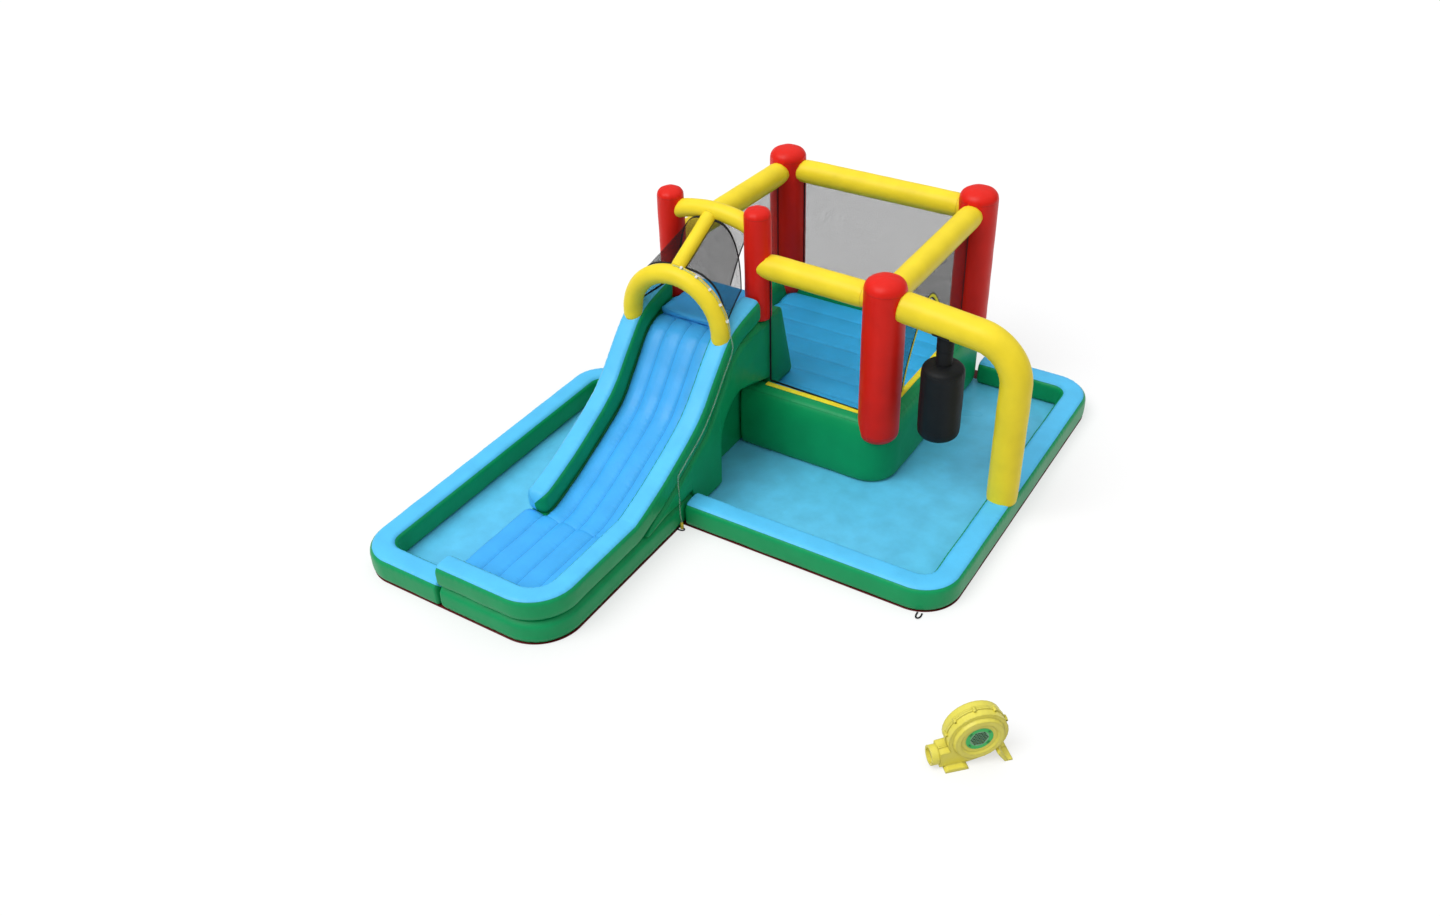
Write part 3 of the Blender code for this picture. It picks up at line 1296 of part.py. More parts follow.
def make_sleeve():
    """Short inflation sleeve on the ground at the left of the bounce room, open at its far end."""
    end_x = HOUSE_LEFT_X + BASE_WIDTH / 2
    start_x = HOUSE_LEFT_X - SLEEVE_LENGTH
    centre = Vector(((start_x + end_x) / 2, SLEEVE_Y, GROUND_Z + SLEEVE_RADIUS))
    work = bmesh.new()
    bmesh.ops.create_cone(
        work, cap_ends=False, segments=TUBE_SIDES, radius1=SLEEVE_RADIUS, radius2=SLEEVE_RADIUS,
        depth=end_x - start_x)
    bmesh.ops.transform(work, matrix=along("X", centre), verts=work.verts)
    mesh = bpy.data.meshes.new("inflation_sleeve")
    work.to_mesh(mesh)
    work.free()
    sleeve = add_part("inflation_sleeve", mesh, vinyl("side_vinyl", GREEN))
    skin = sleeve.modifiers.new("skin", "SOLIDIFY")
    skin.thickness = SLEEVE_SKIN
    skin.offset = -1.0
    section = bulged_section(BASE_WIDTH + 2 * GAP, BASE_HEIGHT + 2 * GAP, GROUND_Z - GAP)
    x = HOUSE_LEFT_X + BASE_WIDTH / 2
    line = [(x, BASE_INNER_Y, 0.0), (x, BACK_Y - BASE_WIDTH, 0.0)]
    low = (x, BASE_INNER_Y, -OVERRUN)
    high = (x + BASE_WIDTH, BACK_Y, BASE_HEIGHT)
    seat = add_cutter("sleeve_seat", sweep_mesh("sleeve_seat", line, section))
    cut(sleeve, seat, add_cutter("sleeve_end", box_mesh("sleeve_end", low, high)))


def hex_plate_mesh(name, radius, thickness, cell_radius, bar, rings, centre=0.0):
    """A round plate with a honeycomb of holes, its faces square to Y."""
    pitch = cell_radius * math.sqrt(3) + bar
    loops = [arc((0.0, 0.0), radius, 0.0, 360.0 - 360.0 / COLUMN_SIDES, COLUMN_SIDES - 1)]
    for q in range(-rings, rings + 1):
        for r in range(-rings, rings + 1):
            if abs(q + r) <= rings:
                cell = (pitch * (q + r / 2), pitch * r * math.sqrt(3) / 2)
                loops.append(arc(cell, cell_radius, 30.0, 330.0, 5))
    return prism_mesh(name, loops, thickness, FRONT, centre)


def fan_outline():
    """Side view of the blower's scroll: a round case with its duct low on the left."""
    points = arc((0.0, 0.0), FAN_RADIUS, SCROLL_START_DEG, SCROLL_END_DEG, COLUMN_SIDES)
    points.append((-DUCT_REACH, -DUCT_TOP))
    points.append((-DUCT_REACH, -DUCT_BOTTOM))
    points.append((-DUCT_REACH / 4, -DUCT_BOTTOM))
    return points


def flange_outline():
    """Rim of the scroll where its halves meet, with a screw boss at each fastening."""
    radius = FAN_RADIUS + FLANGE_WIDTH
    points = []
    half = math.degrees(BOSS_RADIUS / radius)
    angle = SCROLL_START_DEG
    for boss in BOSS_ANGLES_DEG:
        points += arc((0.0, 0.0), radius, angle, boss - half, BOSS_STEPS)
        a = math.radians(boss)
        place = (radius * math.cos(a), radius * math.sin(a))
        points += arc(place, BOSS_RADIUS, boss - BOSS_REACH_DEG, boss + BOSS_REACH_DEG, BOSS_STEPS)
        angle = boss + half
    points += arc((0.0, 0.0), radius, angle, FLANGE_END_DEG, BOSS_STEPS)
    points.append((-DUCT_REACH, -DUCT_TOP + FLANGE_WIDTH))
    points.append((-DUCT_REACH, -DUCT_BOTTOM - FLANGE_WIDTH))
    points.append((-DUCT_REACH / 4, -DUCT_BOTTOM - FLANGE_WIDTH))
    return points


def blower_piece(piece):
    piece.parent = BLOWER
    return piece


def blower_cutter(name, mesh):
    return blower_piece(add_cutter(name, mesh))


def housing_half(name, side):
    """One half of the scroll, open towards the other: side is -1 at the intake, 1 at the motor."""
    outline = fan_outline()
    edge = GAP / 2
    middle = side * (edge + FAN_HALF_DEPTH / 2)
    body = prism_mesh(name, [outline], FAN_HALF_DEPTH, FRONT, middle)
    half = blower_piece(add_part(name, body, plastic("blower_shell", BLOWER_YELLOW)))
    flange = [flange_outline(), shell_outline(outline, FAN_WALL / 2)]
    middle = side * (edge + FLANGE_THICKNESS / 2)
    rim = prism_mesh("flange", flange, FLANGE_THICKNESS, FRONT, middle)
    join(half, blower_cutter(name + "_flange", rim))
    ground = -FAN_CENTRE_HEIGHT
    sole = ground + FOOT_THICKNESS
    duct = -DUCT_BOTTOM + FAN_WALL / 2
    left = [
        (-FOOT_OUTER_SHARE * FAN_RADIUS, ground),
        (-FOOT_INNER_SHARE * FAN_RADIUS, ground),
        (-FOOT_INNER_SHARE * FAN_RADIUS, sole),
        (-FOOT_NECK_SHARE * FAN_RADIUS, duct),
        (-FAN_RADIUS, duct),
        (-FOOT_OUTER_SHARE * FAN_RADIUS, sole),
    ]
    seat = FAN_RADIUS - FAN_WALL / 2
    top = math.radians(LEG_TOP_DEG)
    low = math.radians(LEG_LOW_DEG)
    right = [
        (seat * math.cos(low), seat * math.sin(low)),
        (LEG_INNER_SHARE * FAN_RADIUS, ground),
        (LEG_OUTER_SHARE * FAN_RADIUS, ground),
        (LEG_OUTER_SHARE * FAN_RADIUS, sole),
        (FAN_RADIUS, sole),
        (seat * math.cos(top), seat * math.sin(top)),
    ]
    depth = FOOT_DEPTH / 2
    middle = side * (edge + depth / 2)
    join(half, blower_cutter(name + "_left_foot", prism_mesh("left_foot", [left], depth, FRONT, middle)),
         blower_cutter(name + "_right_foot", prism_mesh("right_foot", [right], depth, FRONT, middle)))
    deep = FAN_HALF_DEPTH - FAN_WALL + OVERRUN
    middle = side * (FAN_HALF_DEPTH + edge - FAN_WALL - deep / 2)
    hollow = prism_mesh("hollow", [shell_outline(outline, FAN_WALL)], deep, FRONT, middle)
    place = (-DUCT_REACH, 0.0, -OUTLET_DROP)
    bore = cylinder_mesh("outlet_bore", OUTLET_RADIUS, OUTLET_RADIUS, TUBE_SIDES, along("X", place))
    cut(half, blower_cutter(name + "_hollow", hollow), blower_cutter(name + "_bore", bore))
    return half


def make_blower():
    yellow = plastic("blower_shell", BLOWER_YELLOW)
    outward = Matrix.Rotation(math.pi / 2, 4, "X")
    inward = Matrix.Rotation(-math.pi / 2, 4, "X")
    face = FAN_HALF_DEPTH + GAP / 2
    wall = FAN_WALL
    front = housing_half("blower_front_half", -1)
    step = [
        (FACE_RADIUS - wall * 2, face + FACE_STEP),
        (FACE_RADIUS, face - wall / 2),
        (FACE_RADIUS - wall, face - wall * 3 / 2),
        (FACE_RADIUS - wall * 3, face + FACE_STEP - wall),
        (RECESS_RADIUS + wall, face + FACE_STEP - wall),
        (RECESS_RADIUS - wall, face + FACE_STEP - RECESS_DEPTH - wall),
        (INTAKE_RADIUS, face + FACE_STEP - RECESS_DEPTH - wall),
        (INTAKE_RADIUS, face + FACE_STEP - RECESS_DEPTH),
        (RECESS_RADIUS - wall * 2, face + FACE_STEP - RECESS_DEPTH),
        (RECESS_RADIUS, face + FACE_STEP),
    ]
    ring = blower_piece(turned_part("face_ring", step, COLUMN_SIDES, yellow, (0, 0, 0), outward, True))
    move_to_cutters(ring)
    opening = cylinder_mesh(
        "face_opening", FACE_RADIUS - wall * 3 / 2, 2 * face, COLUMN_SIDES, along("Y", (0.0, -face, 0.0)))
    cut(front, blower_cutter("face_opening", opening))
    join(front, ring)

    back = housing_half("blower_back_half", 1)
    hole = cylinder_mesh("shaft_hole", HUB_RADIUS, face, TUBE_SIDES, along("Y", (0.0, face, 0.0)))
    cut(back, blower_cutter("shaft_hole", hole))
    low = (SWITCH_PLACE - SWITCH_WIDTH / 2, face - wall / 2, SWITCH_PLACE - SWITCH_HEIGHT / 2)
    high = (SWITCH_PLACE + SWITCH_WIDTH / 2, face + SWITCH_DEPTH, SWITCH_PLACE + SWITCH_HEIGHT / 2)
    join(back, blower_cutter("switch_frame", box_mesh("switch_frame", low, high)))
    edge = ROCKER_MARGIN
    low = (low[0] + edge, face + wall / 2, low[2] + edge)
    high = (high[0] - edge, high[1] + OVERRUN, high[2] - edge)
    cut(back, blower_cutter("switch_well", box_mesh("switch_well", low, high)))
    pivot = Vector((SWITCH_PLACE, face + SWITCH_DEPTH - ROCKER_MARGIN / 2, SWITCH_PLACE))
    pin = cylinder_mesh("rocker_pin", ROCKER_PIN, SWITCH_WIDTH - edge, PIN_SIDES, along("X", pivot))
    join(back, blower_cutter("rocker_pin", pin))
    tall = SWITCH_HEIGHT / 2 - edge * 3 / 2
    rise = ROCKER_MARGIN
    rocker = [(rise, -tall), (rise / 2, 0.0), (rise, tall), (0.0, tall), (-rise, 0.0), (0.0, -tall)]
    step = 360.0 / PIN_SIDES
    hole = arc((0.0, 0.0), ROCKER_PIN + PIN_CLEARANCE, 0.0, 360.0 - step, PIN_SIDES - 1)
    wide = SWITCH_WIDTH - 2 * edge - 2 * GAP
    mesh = prism_mesh("blower_rocker", [rocker, hole], wide, SIDE)
    blower_piece(add_part("blower_rocker", mesh, plastic("switch", BLACK))).location = pivot

    seat = face + FACE_STEP - RECESS_DEPTH - wall / 2
    grille = hex_plate_mesh(
        "blower_grille", INTAKE_RADIUS - GAP, wall, GRILLE_CELL_RADIUS, GRILLE_BAR, GRILLE_RINGS, -seat)
    blower_piece(add_part("blower_grille", grille, plastic("blower_grille", BLOWER_GREEN)))

    place = (-DUCT_REACH - GAP, 0.0, -OUTLET_DROP)
    long = OUTLET_RING_LENGTH
    collar = [
        (OUTLET_RING_RADIUS, long),
        (OUTLET_RING_RADIUS, 0.0),
        (OUTLET_RADIUS, 0.0),
        (OUTLET_RADIUS, long),
    ]
    left = Matrix.Rotation(-math.pi / 2, 4, "Y")
    outlet = turned_part("blower_outlet", collar, COLUMN_SIDES, yellow, place, left, True)
    blower_piece(outlet)
    screen = hex_plate_mesh(
        "outlet_screen", OUTLET_RADIUS + wall / 2, wall / 2, OUTLET_CELL_RADIUS, GRILLE_BAR, OUTLET_RINGS)
    screen = blower_cutter("outlet_screen", screen)
    middle = Matrix.Translation((place[0] - long / 2, 0.0, place[2]))
    screen.matrix_basis = middle @ Matrix.Rotation(math.pi / 2, 4, "Z")
    join(outlet, screen)

    seat = face + GAP
    motor = [
        (0.0, seat + MOTOR_LENGTH),
        (MOTOR_RADIUS - wall, seat + MOTOR_LENGTH),
        (MOTOR_RADIUS, seat + MOTOR_LENGTH - wall),
        (MOTOR_RADIUS, seat),
        (SHAFT_RADIUS + SHAFT_CLEARANCE, seat),
        (SHAFT_RADIUS + SHAFT_CLEARANCE, seat + MOTOR_LENGTH / 3),
        (0.0, seat + MOTOR_LENGTH / 3),
    ]
    blower_piece(turned_part("blower_motor", motor, COLUMN_SIDES, yellow, (0, 0, 0), inward))

    dark = plastic("impeller", BLACK)
    root_radius = IMPELLER_RADIUS - BLADE_LENGTH
    spokes = []
    for i in range(IMPELLER_BLADES):
        turn = 360.0 / IMPELLER_BLADES
        spokes += arc((0.0, 0.0), IMPELLER_RADIUS, turn * i, turn * (i + BLADE_SHARE), 1)
        spokes += arc((0.0, 0.0), root_radius, turn * (i + BLADE_SHARE), turn * (i + 1), 1)
    step = 360.0 / COLUMN_SIDES
    inner = arc((0.0, 0.0), root_radius - BLADE_LENGTH / 2, 0.0, 360.0 - step, COLUMN_SIDES - 1)
    back_y = face - wall - IMPELLER_CLEARANCE
    middle = back_y - IMPELLER_DEPTH / 2
    wheel = prism_mesh("blower_impeller", [spokes, inner], IMPELLER_DEPTH, FRONT, middle)
    impeller = add_part("blower_impeller", wheel, dark)
    blower_piece(impeller)
    place = along("Y", (0.0, back_y - wall, 0.0))
    disc = cylinder_mesh("impeller_disc", root_radius, wall, COLUMN_SIDES, place)
    place = along("Y", (0.0, back_y - 2 * wall, 0.0))
    hub = cylinder_mesh("impeller_hub", HUB_RADIUS - SHAFT_RADIUS / 2, 4 * wall, TUBE_SIDES, place)
    tip = seat + MOTOR_LENGTH / 3 - GAP
    root = back_y - 3 * wall
    place = along("Y", (0.0, (tip + root) / 2, 0.0))
    shaft = cylinder_mesh("impeller_shaft", SHAFT_RADIUS, tip - root, TUBE_SIDES, place)
    join(impeller, blower_cutter("impeller_disc", disc), blower_cutter("impeller_hub", hub),
         blower_cutter("impeller_shaft", shaft))


clear_scene()
PARTS = new_collection("inflatable_water_slide")
CUTTERS = new_collection("cutters")
CUTTER_OF = {}
CREST = crest_stations()
DECK_FRONT_Y = CREST[-1 - SPLINE_STEPS][0]
SPRAY_Y = SLIM_Y - SPRAY_SETBACK
SPRAY_TOP = crest_at(SPRAY_Y)[1] + (LANE_WIDTH - RAIL_WIDTH) / 2

make_ground_sheet()
make_pool_floors()
make_pool_walls()
make_lane_lower_tube()
make_rails()
make_slide_mattress()
make_runout_mattress()
make_slide_body()
make_side_panels()
make_columns()
make_deck_and_climb()
make_base()
make_bounce_floor()
make_strips()
make_beams()
make_swing_arch()
make_tunnel()
make_canopy()
make_nets()
make_bag()
make_hose()
make_sleeve()
BLOWER = bpy.data.objects.new("blower_frame", None)
PARTS.objects.link(BLOWER)
BLOWER.location = (BLOWER_X, BLOWER_Y, FAN_CENTRE_HEIGHT)
BLOWER.rotation_euler = (0.0, 0.0, math.radians(BLOWER_TURN_DEG))
make_blower()
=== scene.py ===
"""Looks of the inflatable water slide: sewn vinyl chambers, netting, webbing and the blower.

Metres, +Z up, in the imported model's own frame. +Y is towards the bounce room at the back.
"""
import math

import bmesh
import bpy
import numpy as np
from mathutils import Matrix, Vector


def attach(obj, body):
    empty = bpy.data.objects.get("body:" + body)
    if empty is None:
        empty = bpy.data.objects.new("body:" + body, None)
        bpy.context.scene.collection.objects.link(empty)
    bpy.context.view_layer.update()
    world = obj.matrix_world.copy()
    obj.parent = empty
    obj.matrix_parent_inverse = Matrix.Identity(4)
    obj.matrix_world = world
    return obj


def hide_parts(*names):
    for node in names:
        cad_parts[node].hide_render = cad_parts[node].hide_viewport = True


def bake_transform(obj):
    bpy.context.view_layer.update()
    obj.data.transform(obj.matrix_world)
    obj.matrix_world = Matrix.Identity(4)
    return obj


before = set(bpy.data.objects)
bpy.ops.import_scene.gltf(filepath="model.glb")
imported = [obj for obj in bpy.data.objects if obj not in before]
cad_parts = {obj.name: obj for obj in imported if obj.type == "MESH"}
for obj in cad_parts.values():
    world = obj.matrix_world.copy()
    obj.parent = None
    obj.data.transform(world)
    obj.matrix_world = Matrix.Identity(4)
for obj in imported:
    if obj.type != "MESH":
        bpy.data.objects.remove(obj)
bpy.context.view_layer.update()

RED = (0.80, 0.014, 0.006)
YELLOW = (0.96, 0.745, 0.03)
GREEN = (0.003, 0.33, 0.108)
RIM_BLUE = (0.10, 0.57, 0.95)
SLIDE_BLUE = (0.06, 0.44, 0.94)
FLOOR_BLUE = (0.045, 0.51, 0.98)
POOL_BLUE = (0.12, 0.57, 0.87)
BLACK = (0.007, 0.008, 0.0095)
SHEET_RED = (0.12, 0.006, 0.006)
STITCH_SHADE = (0.004, 0.01, 0.01)

GROUND = 0.0033  # top of the ground sheet
PACE = 0.012  # usual step between a skin's points
LEFT_X, LANE_X, RIGHT_X = -1.055, -0.655, -0.255  # the slide's rails and its middle
LANE_LOW, LANE_HIGH = -0.9597, -0.3503  # sides of the slide mattress
SPRAY_Y = 0.019
POOL_X, POOL_FRONT, POOL_BACK = 1.875, -0.635, 2.275  # middle lines of the right pool's wall
RAIL_SIZE = 0.2
PANEL_TOP = 1.1395
BEAM_RADIUS, BEAM_HEIGHT = 0.1, 1.6
NET_FOOT, NET_TOP = 0.579, 1.4985
DOOR_HALF, DOOR_HEIGHT = 0.4, 0.6421
MERGED = 0.00002  # points of a skin closer than this are one
COLUMNS = {  # x, y, radius, foot, head, roundness of the foot
    "back_left": (-0.935, 2.235, 0.16, 0.39, 1.79, 0.5),
    "back_right": (0.835, 2.235, 0.16, 0.39, 1.79, 0.5),
    "front_right": (0.835, 0.53, 0.16, 0.39, 1.79, 0.5),
    "slide_left": (-1.035, 0.574, 0.105, 1.1403, 2.06, 0.15),
    "slide_right": (-0.255, 0.574, 0.105, 1.1403, 2.06, 0.15)}
BAG_X, BAG_Y, BAG_RADIUS = 1.325, 0.53, 0.16
CONNECTOR = (-0.1457, -0.78)
BLOWER_SPOT = (2.6, -1.7, 0.225)


# Camera and daylight

def place_camera():
    """The photograph's viewpoint, looking down from the front right corner."""
    yaw, pitch, roll = -0.5827, 0.6372, -0.0382
    ahead = Vector((math.sin(yaw) * math.cos(pitch), math.cos(yaw) * math.cos(pitch), -math.sin(pitch)))
    level = Vector((math.cos(yaw), -math.sin(yaw), 0.0))
    up = level.cross(ahead)
    side = level * math.cos(roll) + up * math.sin(roll)
    top = up * math.cos(roll) - level * math.sin(roll)
    lens = bpy.data.cameras.new("photo_camera")
    lens.sensor_fit = "HORIZONTAL"
    lens.sensor_width = 36.0
    lens.lens = 31.45
    lens.clip_end = 100.0
    camera = linked("photo_camera", lens)
    turn = Matrix((side, top, -ahead)).transposed().to_4x4()
    camera.matrix_world = Matrix.Translation((4.173, -6.773, 6.117)) @ turn
    bpy.context.scene.camera = camera


def linked(name, data):
    """An object with this data, linked to the scene."""
    made = bpy.data.objects.new(name, data)
    bpy.context.scene.collection.objects.link(made)
    return made


class Wire:
    """A node's output, so that masks and heights are written as sums and products."""

    def __init__(self, made, output=0):
        self.tree, self.socket = made.id_data, made.outputs[output]

    def calc(self, operation, *others, clamp=False):
        values = dict(enumerate((self, *others)))
        return Wire(node(self.tree, "Math", values, operation=operation, use_clamp=clamp))

    def __add__(self, other):
        return self.calc("ADD", other)

    def __sub__(self, other):
        return self.calc("SUBTRACT", other)

    def __mul__(self, other):
        return self.calc("MULTIPLY", other)

    def __truediv__(self, other):
        return self.calc("DIVIDE", other)


def node(tree, kind, inputs=None, **settings):
    """A shader node with its settings, and its inputs set to numbers or joined to wires."""
    made = tree.nodes.new("ShaderNode" + kind)
    for name, value in settings.items():
        setattr(made, name, value)
    give(made, inputs or {})
    return made


def give(made, inputs):
    """Sets a node's inputs to numbers, or joins them to wires."""
    for name, value in inputs.items():
        if isinstance(value, Wire):
            made.id_data.links.new(value.socket, made.inputs[name])
        else:
            made.inputs[name].default_value = value


class Finish:
    """A material's node tree, with the noises and lines that the finishes are made of."""

    def __init__(self, name):
        self.material = bpy.data.materials.new(name)
        self.material.use_nodes = True
        self.tree = self.material.node_tree
        self.shader = self.tree.nodes["Principled BSDF"]
        self.place = self.wire("TexCoord", output="Object")

    def wire(self, kind, inputs=None, output=0, **settings):
        return Wire(node(self.tree, kind, inputs, **settings), output)

    def spread(self):
        """The UV map in metres: the place, and its two numbers."""
        spot = self.wire("UVMap", uv_map="UVMap")
        parts = node(self.tree, "SeparateXYZ", {0: spot})
        return spot, Wire(parts, 0), Wire(parts, 1)

    def noise(self, scale, detail, place=None):
        inputs = {"Vector": place or self.place, "Scale": scale, "Detail": detail}
        return self.wire("TexNoise", inputs, "Fac")

    def remap(self, value, low, high, start=0.0, end=1.0, **settings):
        return self.wire("MapRange", {0: value, 1: low, 2: high, 3: start, 4: end}, **settings)

    def blend(self, share, first, second, kind="MIX"):
        """A mix of two colours, each a plain colour or a wire."""
        ends = [value if isinstance(value, Wire) else (*value, 1.0) for value in (first, second)]
        return self.wire("Mix", {0: share, 6: ends[0], 7: ends[1]}, 2, data_type="RGBA", blend_type=kind)

    def weave(self, pitch, height):
        """The crossed threads of a cloth."""
        waves = [self.wire("TexWave", {"Vector": self.place, "Scale": 0.314 / pitch}, "Fac",
                           bands_direction=direction) * height for direction in "XYZ"]
        return waves[0] + waves[1] + waves[2]

    def nearness(self, value, marks, reach):
        """1 on any of the marks, falling to 0 at the reach."""
        best = None
        for mark in marks:
            away = (value - mark).calc("ABSOLUTE")
            best = best.calc("MINIMUM", away) if best else away
        return self.remap(best, reach, 0.0, interpolation_type="SMOOTHSTEP")

    def done(self, colour, roughness, worn, height, more=None, round_off=None):
        """Joins up the shader, with a roughness that varies a little and a bump from a height in metres."""
        bump = {"Strength": 1.0, "Distance": 1.0, "Height": height}
        if round_off:
            bump["Normal"] = round_off
        give(self.shader, {"Base Color": colour, "Normal": self.wire("Bump", bump),
                           "Roughness": self.remap(worn, 0.0, 1.0, roughness - 0.06, roughness + 0.06)})
        give(self.shader, more or {})
        return self.material


def light_the_stage():
    """An overhead sky, one soft lamp from the front left and a white floor."""
    pure, full = (1.0, 1.0, 1.0), {"Color": (1.0, 1.0, 1.0, 1.0), "Strength": 1.0}
    world = bpy.data.worlds.new("soft_sky")
    bpy.context.scene.world = world
    world.use_nodes = True
    tree = world.node_tree
    ray = node(tree, "LightPath")
    seen = Wire(ray, "Is Camera Ray").calc("ADD", Wire(ray, "Is Transmission Ray"), clamp=True)
    sky = tree.nodes["Background"]
    facing = Wire(node(tree, "TexCoord"), "Generated")
    up = Wire(node(tree, "SeparateXYZ", {0: facing}), 2).calc("MAXIMUM", 0.0).calc("POWER", 1.6)
    strength = Wire(node(tree, "MapRange", {0: up, 3: 0.24, 4: 1.12}))
    give(sky, {"Strength": strength, "Color": (0.97, 0.98, 1.0, 1.0)})
    mix = node(tree, "MixShader", {0: seen, 1: Wire(sky), 2: Wire(node(tree, "Background", full))})
    give(tree.nodes["World Output"], {"Surface": Wire(mix)})

    lamp = bpy.data.lights.new("key_lamp", "SUN")
    lamp.energy = 1.5
    lamp.angle = math.radians(35)
    linked("key_lamp", lamp).rotation_euler = (math.radians(36), 0.0, math.radians(-28))

    finish = Finish("white_floor")
    ray = node(finish.tree, "LightPath")
    seen = Wire(ray, "Is Camera Ray").calc("ADD", Wire(ray, "Is Glossy Ray"), clamp=True)
    seen = seen.calc("ADD", Wire(ray, "Is Transmission Ray"), clamp=True)
    give(finish.shader, {"Roughness": 0.9, "Specular IOR Level": 0.0,
                         "Base Color": finish.blend(seen, (0.6, 0.6, 0.6), pure)})
    white = finish.wire("Emission", full)
    mix = finish.wire("MixShader", {0: seen * 0.62, 1: Wire(finish.shader), 2: white})
    give(finish.tree.nodes["Material Output"], {"Surface": mix})
    work = bmesh.new()
    bmesh.ops.create_grid(work, x_segments=1, y_segments=1, size=60.0)
    floor = linked("floor", as_mesh("floor", work))
    floor.data.materials.append(finish.material)
    floor.location.z = -0.0005


# Finishes

def vinyl(name, colours, marks=(), seams=(), ends=(), roughness=0.4, tint=0.05):
    """Coated cloth in sewn panels.

    The UV map is in metres: its first number runs along the piece and its second round it.
    marks are the places round the piece where the next colour starts, seams other sewn lines
    round it, and ends sewn lines across it.
    """
    finish = Finish(name)
    spot, run, turn = finish.spread()
    broad, small, cloud = finish.noise(2.1, 2.0), finish.noise(17.0, 4.0), finish.noise(5.5, 3.0)
    colour = colours[0]
    for mark, above in zip(marks, colours[1:]):
        colour = finish.blend(turn.calc("GREATER_THAN", mark), colour, above)
    shade = finish.remap(cloud, 0.3, 0.7, 1.0 - tint, 1.0 + tint)
    grey = finish.wire("CombineColor", {0: shade, 1: shade, 2: shade})
    colour = finish.blend(1.0, colour, grey, "MULTIPLY")
    height = broad * 0.010 + cloud * 0.0035 + small * 0.0007 + finish.weave(0.0022, 0.00002)
    stitched, seam_half, pucker_reach = None, 0.0035, 0.065
    for value, places, stretch in ((turn, (*marks, *seams), (24.0, 4.0, 0.0)), (run, ends, (4.0, 24.0, 0.0))):
        if places:
            pulled = finish.wire("VectorMath", {0: spot, 1: stretch}, operation="MULTIPLY")
            folds = finish.noise(1.0, 3.0, pulled)
            line = finish.nearness(value, places, seam_half)
            pucker = folds * finish.nearness(value, places, pucker_reach) * 0.0065
            height = height + (pucker + line * -0.0012)
            stitched = stitched.calc("MAXIMUM", line) if stitched else line
    if stitched:
        colour = finish.blend(stitched * 0.3, colour, STITCH_SHADE)
    return finish.done(colour, roughness, broad, height, {"Specular IOR Level": 0.22})


def netting(name, thread, cell=0.0046):
    """Knitted mesh: black threads with clear gaps, laid out on the UV map in metres."""
    finish = Finish(name)
    _, *numbers = finish.spread()
    bars = [(value / cell).calc("FRACT").calc("LESS_THAN", thread / cell) for value in numbers]
    dark = finish.blend(finish.noise(9.0, 2.0), (0.004, 0.004, 0.005), (0.012, 0.012, 0.013))
    give(finish.shader, {"Base Color": dark, "Alpha": bars[0].calc("MAXIMUM", bars[1]),
                         "Roughness": 0.8, "Specular IOR Level": 0.1})
    return finish.material


def plastic(name, colour, roughness, soften=0.0):
    """Moulded plastic with a fine grain, and paler scuffs where it is handled.

    soften is how far round an edge its shading is rounded.
    """
    finish = Finish(name)
    patch, fine = finish.noise(11.0, 3.0), finish.noise(900.0, 2.0)
    scuff = finish.remap(finish.noise(60.0, 6.0), 0.62, 0.75, 0.0, 0.25)
    paler = tuple(min(1.0, part * 1.25 + 0.02) for part in colour)
    base = finish.blend(patch, tuple(part * 0.93 for part in colour), colour)
    round_off = finish.wire("Bevel", {"Radius": soften}, samples=6) if soften else None
    return finish.done(finish.blend(scuff, base, paler), roughness, patch, fine * 0.00006 + patch * 0.0006,
                       round_off=round_off)


def clear_tube(name):
    """Milky clear hose, a little clouded along its length."""
    finish = Finish(name)
    cloud = finish.noise(24.0, 3.0)
    milk = finish.blend(cloud, (0.2, 0.42, 0.3), (0.5, 0.72, 0.6))
    return finish.done(milk, 0.18, cloud, cloud * 0.0004, {"Alpha": finish.remap(cloud, 0.0, 1.0, 0.2, 0.4)})


def tape_finish(name, colour, width, thread=None, roughness=0.7, pitch=0.0026):
    """Woven tape laid out on the UV map in metres, stitched near each edge where a thread is given."""
    finish = Finish(name)
    _, run, across = finish.spread()
    worn = finish.noise(26.0, 4.0)
    paler = tuple(min(1.0, part * 1.35 + 0.003) for part in colour)
    base = finish.blend(finish.remap(worn, 0.35, 0.75), colour, paler)
    along = finish.wire("CombineXYZ", {0: run})
    rib = finish.wire("TexWave", {"Vector": along, "Scale": 0.314 / pitch}, "Fac", bands_direction="X")
    height = rib * 0.00022 + finish.weave(pitch * 0.6, 0.00006)
    if thread:
        inset, thread_half, stitch_length, stitch_share = 0.0035, 0.0011, 0.0065, 0.66
        line = finish.nearness(across.calc("ABSOLUTE"), (width / 2 - inset,), thread_half)
        stitch = line * (run / stitch_length).calc("FRACT").calc("LESS_THAN", stitch_share)
        base = finish.blend(stitch, base, thread)
        height = height + stitch * 0.0004
    return finish.done(base, roughness, worn, height, {"Sheen Weight": 0.05, "Specular IOR Level": 0.25})


# Shapes of sewn chambers

def run_along(line):
    """Length along a line at each of its points."""
    return np.concatenate([[0.0], np.cumsum(np.linalg.norm(np.diff(line, axis=0), axis=1))])


def even_steps(line, pace=PACE):
    """The line again, with points at equal steps of about the pace."""
    line = np.asarray(line, float)
    run = run_along(line)
    at = np.linspace(0.0, run[-1], max(3, round(run[-1] / pace) + 1))
    return np.stack([np.interp(at, run, column) for column in line.T], axis=1)


def joined_steps(ends, counts):
    """Even steps from each end to the next, by their counts."""
    parts = [np.linspace(low, high, count) for low, high, count in zip(ends, ends[1:], counts)]
    return np.concatenate([parts[0]] + [part[1:] for part in parts[1:]])


def hump(away, reach):
    """1 in the middle of something, falling off smoothly round it."""
    return np.exp(-(away / reach) ** 2)


